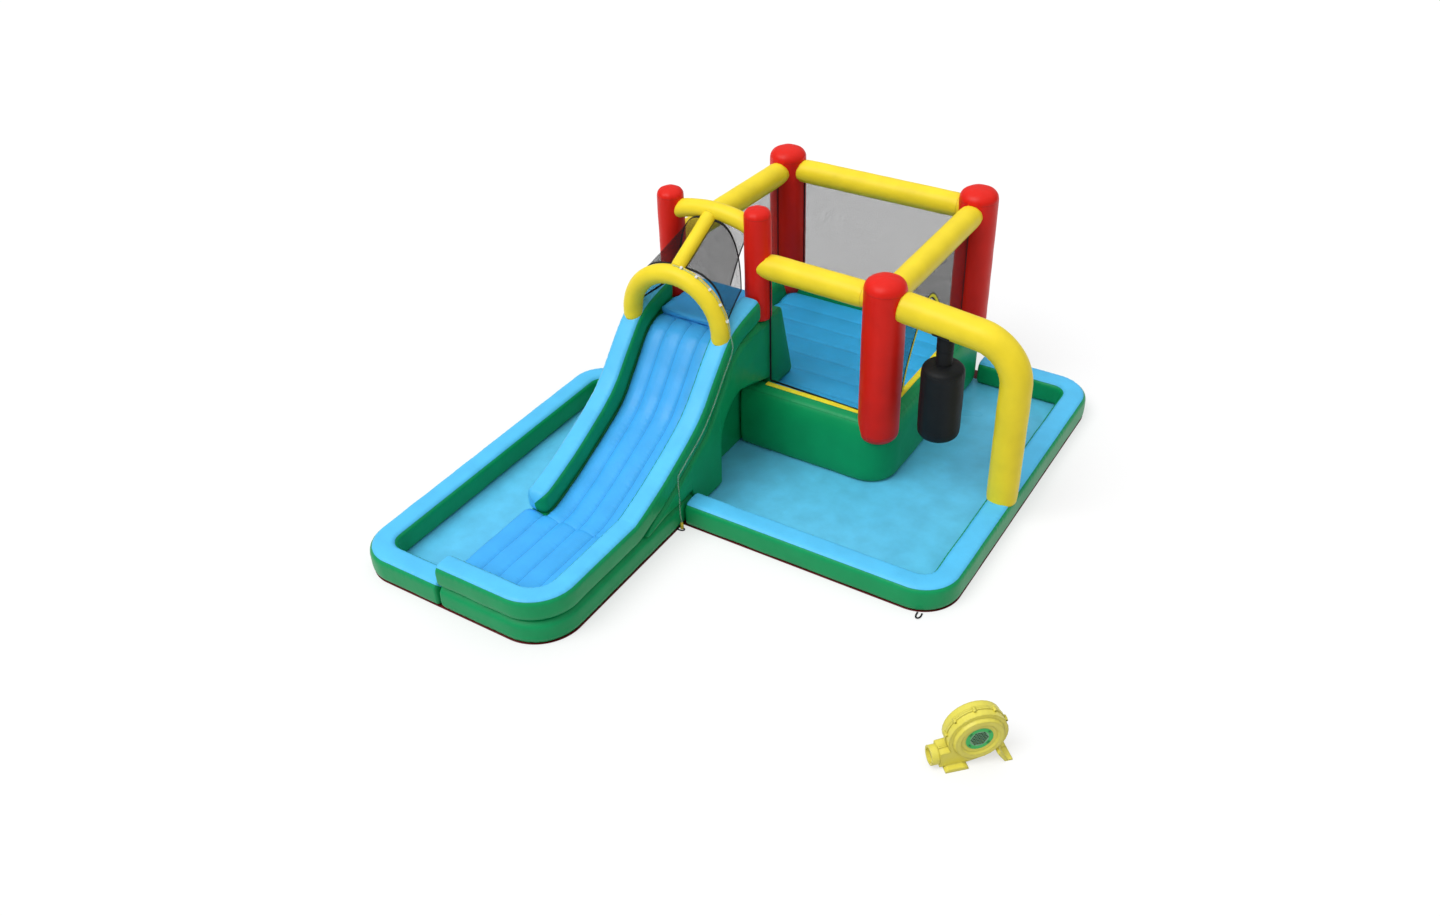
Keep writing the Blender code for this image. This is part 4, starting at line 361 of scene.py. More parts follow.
def grid_of(x, y, z):
    """A grid of places from its three coordinates, each spread over the whole grid."""
    return np.stack(np.broadcast_arrays(x, y, z), axis=2)


def unit(vectors):
    return vectors / np.maximum(np.linalg.norm(vectors, axis=-1, keepdims=True), 1e-9)


def course(corners, pace=PACE):
    """A plan line through (x, y, radius) corners, rounded at each."""
    points = []
    for i, (x, y, radius) in enumerate(corners):
        here = Vector((x, y))
        if not radius or i in (0, len(corners) - 1):
            points.append(here)
            continue
        before = (Vector(corners[i - 1][:2]) - here).normalized()
        after = (Vector(corners[i + 1][:2]) - here).normalized()
        half = before.angle(after) / 2
        middle = here + (before + after).normalized() * radius / math.sin(half)
        start = here + before * radius / math.tan(half) - middle
        turn = start.angle_signed(here + after * radius / math.tan(half) - middle)
        for step in range(25):
            spoke = start.copy()
            spoke.rotate(Matrix.Rotation(-turn * step / 24, 2))
            points.append(middle + spoke)
    return even_steps([tuple(point) for point in points], pace)


def soft_section(width, height, seams, exponent=3.5, foot=5.5, pinch=0.0045, pace=PACE):
    """Section of an inflated tube, from its bottom middle round its right side and back.

    seams are turns in degrees, where 0 is the right side and 90 the top. Gives the points'
    offset across and height, and the way round from the first seam.
    """
    turn = np.radians(np.linspace(-90.0, 270.0, 2881))
    cos, sin = np.cos(turn), np.sin(turn)
    power = 2.0 / np.where(sin < 0, foot, exponent)
    x = np.sign(cos) * np.abs(cos) ** power * width / 2
    z = (np.sign(sin) * np.abs(sin) ** power + 1.0) * height / 2
    run = run_along(np.stack([x, z], axis=1))
    marks = [0.0] + [float(np.interp(math.radians(seam), turn, run)) for seam in seams] + [run[-1]]
    places = [np.linspace(low, high, max(3, round((high - low) / pace)), endpoint=False)
              for low, high in zip(marks, marks[1:])]
    places = np.concatenate(places + [[run[-1]]])
    across, up = np.interp(places, run, x), np.interp(places, run, z)
    dip = pinch * np.max([hump(places - mark, 0.016) for mark in marks[1:-1]], axis=0)
    middle = height / 2
    length = np.hypot(across, up - middle)
    return across - across / length * dip, up - (up - middle) / length * dip, places - marks[1]


def turn_near(section, across, up):
    """The way round to the section's point nearest a place."""
    return float(section[2][np.argmin(np.abs(section[0] - across) + np.abs(section[1] - up))])


def ripple(run, turn, seed, low, high):
    """Uneven soft waves along a run, between two wavelengths, the same ones each time."""
    dice = np.random.default_rng(seed)
    total = 0.0
    for _ in range(5):
        length, phase, lean = dice.uniform(low, high), dice.uniform(0, 6.28), dice.uniform(-0.25, 0.25)
        total = total + np.sin(2 * math.pi * (run + lean * turn) / length + phase)
    return total / 5.0


def outward(places):
    """Outward directions over a wrapped grid of places."""
    along = np.gradient(places, axis=0)
    ring = places[:, :-1]
    around = np.roll(ring, -1, 1) - np.roll(ring, 1, 1)
    around = np.concatenate([around, around[:, :1]], axis=1)
    normal = unit(np.cross(around, along))
    middle = ring.mean(axis=1, keepdims=True)
    return -normal if ((places - middle) * normal).sum() < 0 else normal


def swelled(places, move):
    """The wrapped grid moved outward, and closed again."""
    places = places + outward(places) * move[:, :, None]
    places[:, -1] = places[:, 0]
    return places


def capped(places, run):
    """The grid with one more row at each end, drawn to the row's middle, and the run of each row."""
    first, last = (row + np.zeros_like(places[:1]) for row in (
        places[:1].mean(axis=1, keepdims=True), places[-1:].mean(axis=1, keepdims=True)))
    return np.concatenate([first, places, last]), np.concatenate([run[:1], run, run[-1:]])


def close_ends(places, reach):
    """Draws the rings together into a rounded end at either end. Gives the run of each row too."""
    run = run_along(places[:, :-1].mean(axis=1))
    turn = np.linspace(0.0, math.pi / 2, 7)
    inside = run[(run > reach) & (run < run[-1] - reach)]
    at = np.concatenate([reach * (1 - np.cos(turn)), inside, run[-1] - reach * (1 - np.cos(turn[::-1]))])
    flat = places.reshape(len(run), -1)
    rows = np.stack([np.interp(at, run, column) for column in flat.T], axis=1)
    rows = rows.reshape(len(at), *places.shape[1:])
    size = np.ones(len(at))
    size[:7], size[-7:] = np.sin(turn), np.sin(turn[::-1])
    middle = rows[:, :-1].mean(axis=1, keepdims=True)
    return middle + (rows - middle) * size[:, None, None], at


def as_mesh(name, work, smooth=False, sharp=None):
    """A mesh from a bmesh, which is freed."""
    for face in work.faces:
        face.smooth = smooth
    mesh = bpy.data.meshes.new(name)
    work.to_mesh(mesh)
    work.free()
    if sharp:
        mesh.set_sharp_from_angle(angle=math.radians(sharp))
    return mesh


def grid_mesh(name, places, along, around, closed=True, keep=None):
    """A skin over a grid of places, with its UV map in metres. keep says which faces stay, by their plan."""
    rows, cols = places.shape[:2]
    work = bmesh.new()
    bmesh.ops.create_grid(work, x_segments=cols - 1, y_segments=rows - 1, size=1.0)
    mesh = bpy.data.meshes.new(name)
    work.to_mesh(mesh)
    mesh.vertices.foreach_set("co", np.ascontiguousarray(places, np.float32).ravel())
    corner = np.zeros(len(mesh.loops), np.int32)
    mesh.loops.foreach_get("vertex_index", corner)
    spots = np.stack([np.broadcast_to(along, (rows, cols)), np.broadcast_to(around, (rows, cols))], axis=2)
    layer = mesh.uv_layers.new(name="UVMap")
    layer.data.foreach_set("uv", spots.reshape(-1, 2)[corner].astype(np.float32).ravel())
    work.clear()
    work.from_mesh(mesh)
    bmesh.ops.remove_doubles(work, verts=work.verts, dist=MERGED)
    bmesh.ops.dissolve_degenerate(work, dist=MERGED / 2, edges=work.edges)
    if closed:
        bmesh.ops.recalc_face_normals(work, faces=work.faces)
    for face in work.faces:
        face.smooth = True
    if keep:
        gone = [face for face in work.faces if not keep(*face.calc_center_median()[:2])]
        bmesh.ops.delete(work, geom=gone, context="FACES")
        if sum(face.normal.z for face in work.faces) < 0:
            bmesh.ops.reverse_faces(work, faces=work.faces)
    work.to_mesh(mesh)
    work.free()
    return mesh


def piece(name, mesh, finish, stands_for=(), body="inflatable"):
    """Puts a finished mesh in the scene, on its body, with what it stands for."""
    made = linked(name, mesh)
    mesh.materials.append(finish)
    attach(made, body)
    if stands_for:
        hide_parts(*stands_for)
    return made


def skin(name, places, along, around, finish, stands_for=None, body="inflatable"):
    """A padded skin over a grid of places, which stands for the node of its name or for others."""
    mesh = grid_mesh(name + "_skin", places, along, around)
    return piece(name + "_skin", mesh, finish, stands_for or (name,), body)


def thicken(made, thickness, offset=-1.0):
    solid = made.modifiers.new("thickness", "SOLIDIFY")
    solid.thickness, solid.offset = thickness, offset


def chamber(name, line, section, bottom, seams, seed, finish, scale=1.0, reach=0.03, broad=0.0018,
            stands_for=None):
    """An inflated tube along a plan line: rounded ends, puckers along its seams and a little unevenness."""
    turn = section[2][None, :]
    rows, run = close_ends(upright_rings(line, section, bottom, scale), reach)
    run = run[:, None]
    away = np.min([np.abs(turn - seam) for seam in seams], axis=0)
    move = 0.0022 * hump(away, 0.045) * ripple(run, turn, seed, 0.032, 0.07)
    move = move + broad * ripple(run, turn, seed + 1, 0.22, 0.6)
    move = move * np.clip(np.minimum(run - run[0], run[-1] - run) / (2 * reach), 0, 1)
    return skin(name, swelled(rows, move), run, turn, finish, stands_for)


def upright_rings(line, section, bottom, scale=1.0):
    """Rings of an upright section carried along a plan line."""
    across, up, _ = section
    ahead = unit(np.gradient(line, axis=0))
    side = np.stack([ahead[:, 1], -ahead[:, 0]], axis=1)
    plan = line[:, None, :] + side[:, None, :] * across[None, :, None]
    height = np.broadcast_to(bottom, len(line))[:, None] + up * np.broadcast_to(scale, len(line))[:, None]
    return np.concatenate([plan, height[:, :, None]], axis=2)


def round_rings(line, radius, sides=44):
    """Rings of a round tube along a line in an upright plane, or level."""
    ahead = unit(np.gradient(line, axis=0))
    flat = np.cross(line[-1] - line[0], line[len(line) // 2] - line[0])
    if np.linalg.norm(flat) < 1e-6:
        flat = np.cross(ahead[0], (0.0, 0.0, 1.0))
    flat = unit(flat)
    if np.cross(flat, ahead[len(line) // 2])[2] < 0:
        flat = -flat
    top = np.cross(flat[None, :], ahead)
    turn = np.linspace(-math.pi / 2, 1.5 * math.pi, sides + 1)
    ring = flat[None, None, :] * np.cos(turn)[None, :, None] + top[:, None, :] * np.sin(turn)[None, :, None]
    return line[:, None, :] + ring * radius, turn[None, :]


def turned_rings(centre, profile, sides):
    """Rings round an upright axis from a profile of (radius, height)."""
    turn = np.linspace(0.0, 2 * math.pi, sides + 1)[None, :]
    radius, height = profile[:, :1], profile[:, 1:]
    return grid_of(centre[0] + radius * np.cos(turn), centre[1] + radius * np.sin(turn), height), turn


def pointed(rings):
    """The rings with the first and the last drawn to a point."""
    rings[0], rings[-1] = rings[0].mean(axis=0), rings[-1].mean(axis=0)
    return rings


CREST = np.array([  # along the lane, height of the rails' top line, stretch of upright sizes
    (-2.4, 0.399, 1.0), (-1.3, 0.399, 1.0), (-1.249, 0.417, 1.06), (-1.176, 0.442, 1.064),
    (-1.1, 0.47, 1.066), (-1.036, 0.494, 1.069), (-0.97, 0.52, 1.088), (-0.881, 0.561, 1.106),
    (-0.747, 0.625, 1.116), (-0.589, 0.705, 1.144), (-0.451, 0.79, 1.236), (-0.35, 0.88, 1.416),
    (-0.268, 0.974, 1.513), (-0.191, 1.06, 1.474), (-0.117, 1.137, 1.432), (-0.049, 1.206, 1.347),
    (0.02, 1.26, 1.189), (0.089, 1.294, 1.073), (0.158, 1.314, 1.032), (0.23, 1.33, 1.022),
    (0.317, 1.347, 1.015), (0.406, 1.361, 1.011), (0.469, 1.37, 1.0), (0.7, 1.38, 1.0)])
CREST_Y = np.arange(-2.4, 0.7, 0.004)
BELL = hump(np.arange(-12, 13), 7.0)
CREST_EASED = [np.convolve(np.pad(np.interp(CREST_Y, CREST[:, 0], column), 12, mode="edge"),
                           BELL / BELL.sum(), mode="valid") for column in CREST.T[1:]]


def crest(y):
    """Height of the rails' top line, and the stretch of an upright size on the slope."""
    return tuple(np.interp(y, CREST_Y, column) for column in CREST_EASED)


# Pools and ground sheet

SHOULDER = (45.0, 135.0)


def make_pool_walls():
    section = soft_section(0.21, 0.21, SHOULDER)
    rim = turn_near(section, -0.09, 0.19)
    finish = vinyl("pool_wall_vinyl", (GREEN, RIM_BLUE, GREEN), marks=(0.0, rim), roughness=0.38)
    bend = 0.2
    left = [(-1.1503, 0.49, 0), (-POOL_X, 0.49, bend), (-POOL_X, -POOL_BACK, bend), (-1.1503, -POOL_BACK, 0)]
    right = [(-0.1597, POOL_FRONT, 0), (POOL_X, POOL_FRONT, bend), (POOL_X, POOL_BACK, bend),
             (0.9803, POOL_BACK, 0)]
    for name, corners, seed in (("left_pool_wall", left, 11), ("right_pool_wall", right, 23)):
        chamber(name, course(corners), section, GROUND, (0.0, rim), seed, finish)


def ease_corner(x, y, corner):
    """Bends the square corner of a plan into a round one: its tip's (x, y), outward signs and radius."""
    tip_x, tip_y, sign_x, sign_y, radius = corner
    a = 1 - np.clip((tip_x - x) * sign_x / radius, 0, 1)
    b = 1 - np.clip((tip_y - y) * sign_y / radius, 0, 1)
    inside = (a > 0) & (b > 0)
    new_a, new_b = a * np.sqrt(1 - b * b / 2), b * np.sqrt(1 - a * a / 2)
    x = np.where(inside, tip_x - sign_x * radius * (1 - new_a), x)
    y = np.where(inside, tip_y - sign_y * radius * (1 - new_b), y)
    return x, y


def laid_sheet(name, lines_x, lines_y, keep, corners, level, seed, finish, flat, area, slot, rests_on, wave):
    """A thin sheet laid flat: a plan grid, its unused squares left out and its corners rounded."""
    x, y = np.meshgrid(lines_x, lines_y, indexing="ij")
    bent_x, bent_y = x, y
    for corner in corners:
        bent_x, bent_y = ease_corner(bent_x, bent_y, corner)
    lift = ripple(x, y, seed, 0.35, 0.9) + ripple(y, x, seed + 1, 0.3, 0.8)
    lift = wave * (lift + 0.35 * ripple(x * 0.7 + y * 0.7, x - y, seed + 2, 0.09, 0.2))
    places = grid_of(bent_x, bent_y, level + np.maximum(lift, 0) * 0.9)
    mesh = grid_mesh(name + "_cloth", places, bent_x, bent_y, closed=False, keep=keep)
    made = piece(name + "_cloth", mesh, finish, (name,))
    thicken(made, 0.0018)


def make_sheets():
    water_blue = vinyl("pool_floor_vinyl", (POOL_BLUE,), roughness=0.3, tint=0.09)
    bend, level, wave = 0.15, 0.0055, 0.0022
    low_x, high_x, low_y, high_y = -1.825, -1.12, -2.225, 0.44
    left = (np.linspace(low_x, high_x, 52), np.linspace(low_y, high_y, 186), lambda *_: True,
            ((low_x, low_y, -1, -1, bend), (low_x, high_y, -1, 1, bend)))
    low_x, step_x, high_x, low_y, step_y, high_y = -0.42, 0.8, 1.825, -0.59, 0.56, 2.24
    right = (joined_steps((low_x, step_x, high_x), (86, 72)),
             joined_steps((low_y, step_y, high_y), (80, 118)), lambda x, y: x > step_x or y < step_y,
             ((high_x, low_y, 1, -1, bend), (high_x, high_y, 1, 1, bend)))
    for name, plan, seed, flat, area in (("left_pool_floor", left, 31, (0.705, 2.665), 1.869),
                                         ("right_pool_floor", right, 37, (2.245, 2.83), 4.29)):
        laid_sheet(name, *plan, level, seed, water_blue, flat, area, "pool_vinyl", ["ground_sheet"], wave)

    side, front, notch_x, notch_y, back_x, back_y = 1.974, 2.374, -0.166, -0.734, -1.074, 0.589
    corners = ((-side, -front, -1, -1, 0.3), (notch_x, -front, 1, -1, 0.35), (side, notch_y, 1, -1, 0.3),
               (side, front, 1, 1, 0.3), (back_x, front, -1, 1, 0.25), (-side, back_y, -1, 1, 0.3))
    dark_red = vinyl("ground_sheet_vinyl", (SHEET_RED,), roughness=0.5)
    laid_sheet("ground_sheet", joined_steps((-side, back_x, notch_x, side), (60, 60, 120)),
               joined_steps((-front, notch_y, back_y, front), (100, 80, 100)),
               lambda x, y: not (x > notch_x and y < notch_y) and not (x < back_x and y > back_y),
               corners, 0.003, 41, dark_red, (3.948, 4.748), 13.5, "base_vinyl", [], 0.0)


# Slide lane

def make_lane():
    front, slope_foot, slope_end, flat_top = -2.285, -1.3, 0.4687, 0.399
    foot = [(-1.15, front, 0), (RIGHT_X, front, 0.26)]
    green = vinyl("lane_tube_vinyl", (GREEN,), seams=(0.0,), roughness=0.42)
    section = soft_section(0.19, 0.195, (-30.0, 45.0))
    chamber("lane_tube", course(foot + [(RIGHT_X, -0.53, 0)]), section, GROUND, (0.0,), 51, green,
            stands_for=("lane_lower_tube",))

    section = soft_section(0.19, RAIL_SIZE, SHOULDER, foot=3.5)
    rim = turn_near(section, -0.081, 0.182)
    bumper = course(foot + [(RIGHT_X, slope_foot, 0)])
    slope = np.linspace(slope_foot, slope_end, 200)[1:]
    right = np.concatenate([bumper, np.stack([np.full_like(slope, RIGHT_X), slope], axis=1)])
    level = np.arange(len(right)) < len(bumper)
    slope = np.linspace(-1.3797, slope_end, 230)
    left = np.stack([np.full_like(slope, LEFT_X), slope], axis=1)
    for name, line, flat, colours, marks, seams, seed, reach in (
            ("right_rail", right, level, (GREEN, RIM_BLUE, GREEN), (0.0, rim), (), 57, 0.03),
            ("left_rail", left, False, (GREEN, RIM_BLUE), (0.0,), (rim,), 61, 0.055)):
        top, stretch = crest(line[:, 1])
        top, stretch = np.where(flat, flat_top, top), np.where(flat, 1.0, stretch)
        bottom = top - RAIL_SIZE * stretch + 0.0003
        finish = vinyl(name + "_vinyl", colours, marks=marks, seams=seams, roughness=0.38)
        scale = (top - bottom) / RAIL_SIZE
        chamber(name, line, section, bottom, (0.0, rim), seed, finish, scale, reach)


def channel_section(low, high, count, edge, depth=0.02):
    """A mattress's section from its lower left, over its rounded channels and back underneath.

    Gives each point's offset across and height from the crown, whether it is on the top side,
    and the way round.
    """
    across = np.linspace(low, high, 20 * count + 1)
    wave = depth * (1 - np.abs(np.sin(math.pi * count * np.linspace(0.0, 1.0, 20 * count + 1))) ** 0.6)
    drop = depth + edge * np.linspace(0.0, 1.0, 5)
    left = np.stack([np.full(5, low), -drop[::-1]], axis=1)[:4]
    right = np.stack([np.full(4, high), -drop[1:]], axis=1)
    bottom = np.stack([across[-2::-1], np.full(20 * count, -depth - edge)], axis=1)
    points = np.concatenate([left[:1], left, np.stack([across, -wave], axis=1), right, bottom])
    number = np.arange(len(points))
    on_top = (number > len(left)) & (number <= len(left) + len(across))
    turn = np.where(on_top, points[:, 0] - low, np.where(number <= len(left), -0.05, high - low + 0.05))
    return points, on_top, turn


def mattress(name, section, rows, level, stretch, seed, facing, seams, finish, slot, drops=(0.016, 0.016),
             bend=None):
    """A channelled mattress from a section carried along rows, lower by the drops at its two ends."""
    points, on_top, turn = section
    along, across = np.meshgrid(rows, points[:, 0], indexing="ij")
    turn_grid = np.broadcast_to(turn, along.shape)
    from_end = np.minimum(along - rows[0], rows[-1] - along)
    sag = np.where(along < (rows[0] + rows[-1]) / 2, *drops) * np.exp(-(from_end / 0.022) ** 1.4)
    near = np.max([hump(turn_grid - seam, 0.03) for seam in seams], axis=0)
    soft = 0.0022 * near * ripple(along, turn_grid, seed, 0.03, 0.06)
    soft += 0.0025 * ripple(along, turn_grid, seed + 1, 0.2, 0.5)
    soft += 0.0016 * ripple(turn_grid, along, seed + 2, 0.05, 0.12) * hump(from_end, 0.05)
    rise = points[:, 1] + np.where(on_top, soft - sag, 0.0)
    up = np.broadcast_to(level, len(rows))[:, None] + rise * np.broadcast_to(stretch, len(rows))[:, None]
    x, y = (across, along) if facing == "Y" else (along, across)
    if bend:
        x, y = ease_corner(x, y, bend)
    places = grid_of(x, y, up)
    ends = [places[:1].copy(), places[-1:].copy()]
    for end in ends:
        end[:, :, 2] = (end[:, :, 2].min() + end[:, :, 2].max()) / 2
    run = np.concatenate([rows[:1], rows, rows[-1:]])
    skin(name, np.concatenate([ends[0], places, ends[1]]), run[:, None], turn, finish)


def make_mattresses():
    slope = np.linspace(-1.41, 0.2297, 193)
    top, stretch = crest(slope)
    runout, front = (-1.15, LANE_HIGH), -2.1897
    room = (0.5953, 2.1697)
    for name, label, colour, roughness, side, width, count, edge, rows, level, scale, seed, facing, more in (
            ("slide_mattress", "slide_vinyl", SLIDE_BLUE, 0.33, (LANE_LOW, LANE_HIGH), 0.609, 4, 0.078, slope,
             top - 0.17 * stretch, stretch, 71, "Y", {"drops": (0.03, 0.005)}),
            ("runout_mattress", "runout_vinyl", SLIDE_BLUE, 0.33, runout, 0.7997, 5, 0.205,
             np.linspace(front, -1.36, 82), 0.229, 1.0, 77, "Y", {"bend": (LANE_HIGH, front, 1, -1, 0.175)}),
            ("bounce_floor", "bounce_floor_vinyl", FLOOR_BLUE, 0.36, room, 1.5744, 7, 0.41,
             np.linspace(-0.8697, 0.7697, 150), 0.44, 1.0, 83, "X", {})):
        seams = tuple(width * k / count for k in range(count + 1))
        finish = vinyl(label, (colour,), seams=seams, roughness=roughness, tint=0.06)
        slot = "floor_vinyl" if facing == "X" else "slide_vinyl"
        section = channel_section(*side, count, edge)
        mattress(name, section, rows, level, scale, seed, facing, seams, finish, slot, **more)


def block_section(width, low, high, corner):
    """A tall flat chamber's section with rounded corners, as fixed numbers of points."""
    corner = min(corner, (high - low) / 2.2, width / 2.2)
    points = [(0.0, low)]
    for cx, cz, start in ((1, -1, -90), (1, 1, 0), (-1, 1, 90), (-1, -1, 180)):
        middle = (cx * (width / 2 - corner), (low + corner) if cz < 0 else (high - corner))
        for step in range(7):
            a = math.radians(start + 15 * step)
            points.append((middle[0] + corner * math.cos(a), middle[1] + corner * math.sin(a)))
        if cx == -cz:
            far = high - corner if cx > 0 else low + corner
            near = points[-1][1]
            points += [(cx * width / 2, near + (far - near) * k / 18) for k in range(1, 18)]
        if (cx, cz) == (1, 1):
            points += [(width / 2 - corner - (width - 2 * corner) * k / 8, high) for k in range(1, 8)]
    points.append((0.0, low))
    return np.array(points)


def blocks(centre_x, width, rows, low, high, corner):
    """A grid of upright block sections along Y."""
    return np.array([[(centre_x + x, y, z) for x, z in block_section(width, float(a), float(b), corner)]
                     for y, a, b in zip(rows, low, high)])


def side_panel(name, node_name, centre_x, rows, low, high, seed, finish):
    """A tall side chamber of the slide, built of upright sections along Y."""
    places = blocks(centre_x, 0.19, rows, low, high, 0.05)
    run = rows[:, None]
    x, z = places[:, :, 0], places[:, :, 2]
    crown = np.clip((z - low[:, None]) / np.maximum(high - low, 0.01)[:, None], 0, 1)
    belly = np.sin(math.pi * crown) * 0.006
    wave = 0.004 * ripple(run, z, seed, 0.3, 0.8) + 0.002 * ripple(z, run, seed + 1, 0.2, 0.5)
    edge = np.clip(np.minimum(run - rows[0], rows[-1] - run) / 0.08, 0, 1)
    sign = np.sign(x - centre_x) * (np.abs(x - centre_x) > 0.05)
    places[:, :, 0] = x + sign * (belly + wave - 0.004) * edge
    shut, run = close_ends(places, 0.02)
    top = np.interp(run, run[0] + rows - rows[0], high)
    skin(name, shut, run[:, None], shut[:, :, 2] - top[:, None], finish, (node_name,))


def make_side_panels():
    green = vinyl("side_panel_vinyl", (GREEN,), seams=(-0.03,), roughness=0.42)
    bottom, slope_end, arch_y, back = GROUND + 0.0005, 0.469, 0.165, 0.5944

    def panel_top(rows):
        top, stretch = crest(rows)
        under_rail = np.minimum(top - RAIL_SIZE * stretch - 0.001, PANEL_TOP + 0.03)
        return np.where(rows > slope_end, PANEL_TOP, under_rail)

    rows = joined_steps((-1.2, -0.53, -0.18, arch_y, back), (50, 30, 44, 36))
    low = np.where(rows < -0.575, 0.1986, bottom)
    arch = 0.3 + 0.4 * np.sqrt(np.clip(1 - ((arch_y - rows) / 0.34) ** 2, 0, 1))
    low = np.where(rows > -0.175, arch, low)
    low = np.where(rows > arch_y, 0.7 - (rows - arch_y) / 0.43 * 0.126, low)
    high = np.maximum(panel_top(rows), low + 0.004)
    side_panel("right_panel", "right_side_panel", RIGHT_X, rows, low, high, 91, green)
    rows = np.linspace(-1.379, back, 170)
    low = np.full_like(rows, bottom)
    side_panel("left_panel", "left_side_panel", LEFT_X, rows, low, panel_top(rows), 95, green)

    rows = np.linspace(-1.378, 0.594, 90)
    top, stretch = crest(rows)
    high = np.where(rows > 0.23, 1.139, top - 0.27 * stretch - 0.002)
    shut, run = close_ends(blocks(LANE_X, 0.606, rows, np.full_like(rows, bottom), high, 0.03), 0.02)
    blue = vinyl("slide_body_vinyl", (GREEN, SLIDE_BLUE), (0.35,), roughness=0.36)
    skin("slide_body", shut, run[:, None], shut[:, :, 2] - 0.6, blue)


def rounded_outline(corners, pace=PACE):
    """A closed outline through (a, b, radius) corners, from the middle of the edge that closes it."""
    first, last = corners[0], corners[-1]
    start = ((first[0] + last[0]) / 2, (first[1] + last[1]) / 2, 0)
    return course([start] + list(corners) + [start], pace)


def make_deck_and_climb():
    low, high = 1.1403, 1.2
    a, b = rounded_outline([(LANE_LOW, low, 0.022), (LANE_HIGH, low, 0.022), (LANE_HIGH, high, 0.028),
                            (LANE_LOW, high, 0.028)], 0.01).T
    y = np.linspace(0.2303, 0.8047, 50)[:, None]
    width, narrowing = 0.609, 0.041
    narrow = np.clip((y - 0.41) / 0.056, 0, 1)
    wide = width - narrowing * narrow * narrow * (3 - 2 * narrow)
    x = LANE_X + (a - LANE_X) * (wide / width)
    z = b + 0.004 * ripple(y, x, 101, 0.15, 0.4) * (b > 1.17)
    shut, run = close_ends(grid_of(x, y, z), 0.03)
    blue = vinyl("deck_vinyl", (SLIDE_BLUE,), seams=(0.0,), ends=(0.24,), roughness=0.36)
    skin("deck", shut, run[:, None], np.abs(a - LANE_X) - 0.29, blue, ("platform_deck",))

    inner, foot, top = 0.5955, 0.4405, 1.1395
    outline = rounded_outline([(inner, foot, 0.03), (0.985, foot, 0.03), (0.805, top, 0.04),
                               (inner, top, 0.03)])
    x = np.linspace(-0.8695, -0.1602, 60)[:, None]
    middle = outline[:-1].mean(axis=0)
    lift = 0.005 * ripple(x, outline[:, 1], 103, 0.2, 0.5)
    toward = (outline - middle) / np.linalg.norm(outline - middle, axis=1, keepdims=True)
    plan = outline + toward * (lift - 0.006)[:, :, None]
    shut, run = close_ends(grid_of(x, plan[:, :, 0], plan[:, :, 1]), 0.03)
    green = vinyl("climbing_wall_vinyl", (GREEN,), seams=(0.44, 1.13), ends=(0.03, 0.68), roughness=0.42)
    skin("climbing_wall", shut, run[:, None], shut[:, :, 2], green)


# Bounce room

def make_base():
    section = soft_section(0.21, 0.57, (60.0, 120.0), exponent=3.2, pinch=0.004, pace=0.016)
    seam = np.argmin(np.abs(section[2]))
    rim = turn_near(section, -section[0][seam], section[1][seam])
    right, left, bend = 0.875, -0.975, 0.15
    line = course([(-0.3497, 0.49, 0), (right, 0.49, bend), (right, POOL_BACK, bend),
                   (left, POOL_BACK, bend), (left, 0.5953, 0)], 0.014)
    finish = vinyl("base_tube_vinyl", (GREEN,), seams=(0.0, rim), roughness=0.42)
    chamber("base_tube", line, section, GROUND, (0.0, rim), 111, finish, broad=0.003,
            stands_for=("base_front_tube", "base_right_tube", "base_back_tube", "base_left_tube"))


def column_profile(radius, low, high, foot_round):
    """A column from the middle of its foot to the tip of its domed head, and the dome's height."""
    turn = np.linspace(0.0, math.pi / 2, 12)
    dome, bend = radius * 0.6, radius * foot_round
    head = np.stack([radius * np.cos(turn) ** 0.8, high - dome + dome * np.sin(turn) ** 0.9], axis=1)
    foot = np.stack([radius - bend + bend * np.sin(turn), low + bend - bend * np.cos(turn)], axis=1)
    line = np.concatenate([[(0.0001, low)], foot, head])
    line[-1, 0] = 0.0001
    return even_steps(line, 0.0115), dome


def make_columns():
    for number, (name, (x, y, radius, low, high, foot_round)) in enumerate(COLUMNS.items()):
        profile, dome = column_profile(radius, low, high, foot_round)
        rings, turn = turned_rings((x, y), profile, 64)
        run = run_along(profile)
        seam = float(np.interp(high - dome, profile[:, 1], run))
        base = float(np.interp(low + radius * foot_round, profile[:, 1], run))
        lines = (seam, base) if foot_round > 0.3 else (seam,)
        around, up = turn * radius, run[:, None]
        near = sum(hump(up - mark, 0.03) for mark in lines)
        on_dome = np.clip((up - seam) / (run[-1] - seam), 0, 1)
        lobes = 0.0035 * np.cos(6 * turn) * on_dome * (1 - on_dome)
        move = near * 0.003 * (ripple(around, up, 121 + number, 0.03, 0.06) - 0.6) + lobes
        move = move + 0.0012 * ripple(up, around, 131 + number, 0.2, 0.5)
        finish = vinyl(name + "_column_vinyl", (RED,), seams=lines, roughness=0.4)
        skin(name + "_column", pointed(swelled(rings, move)), around, up, finish)


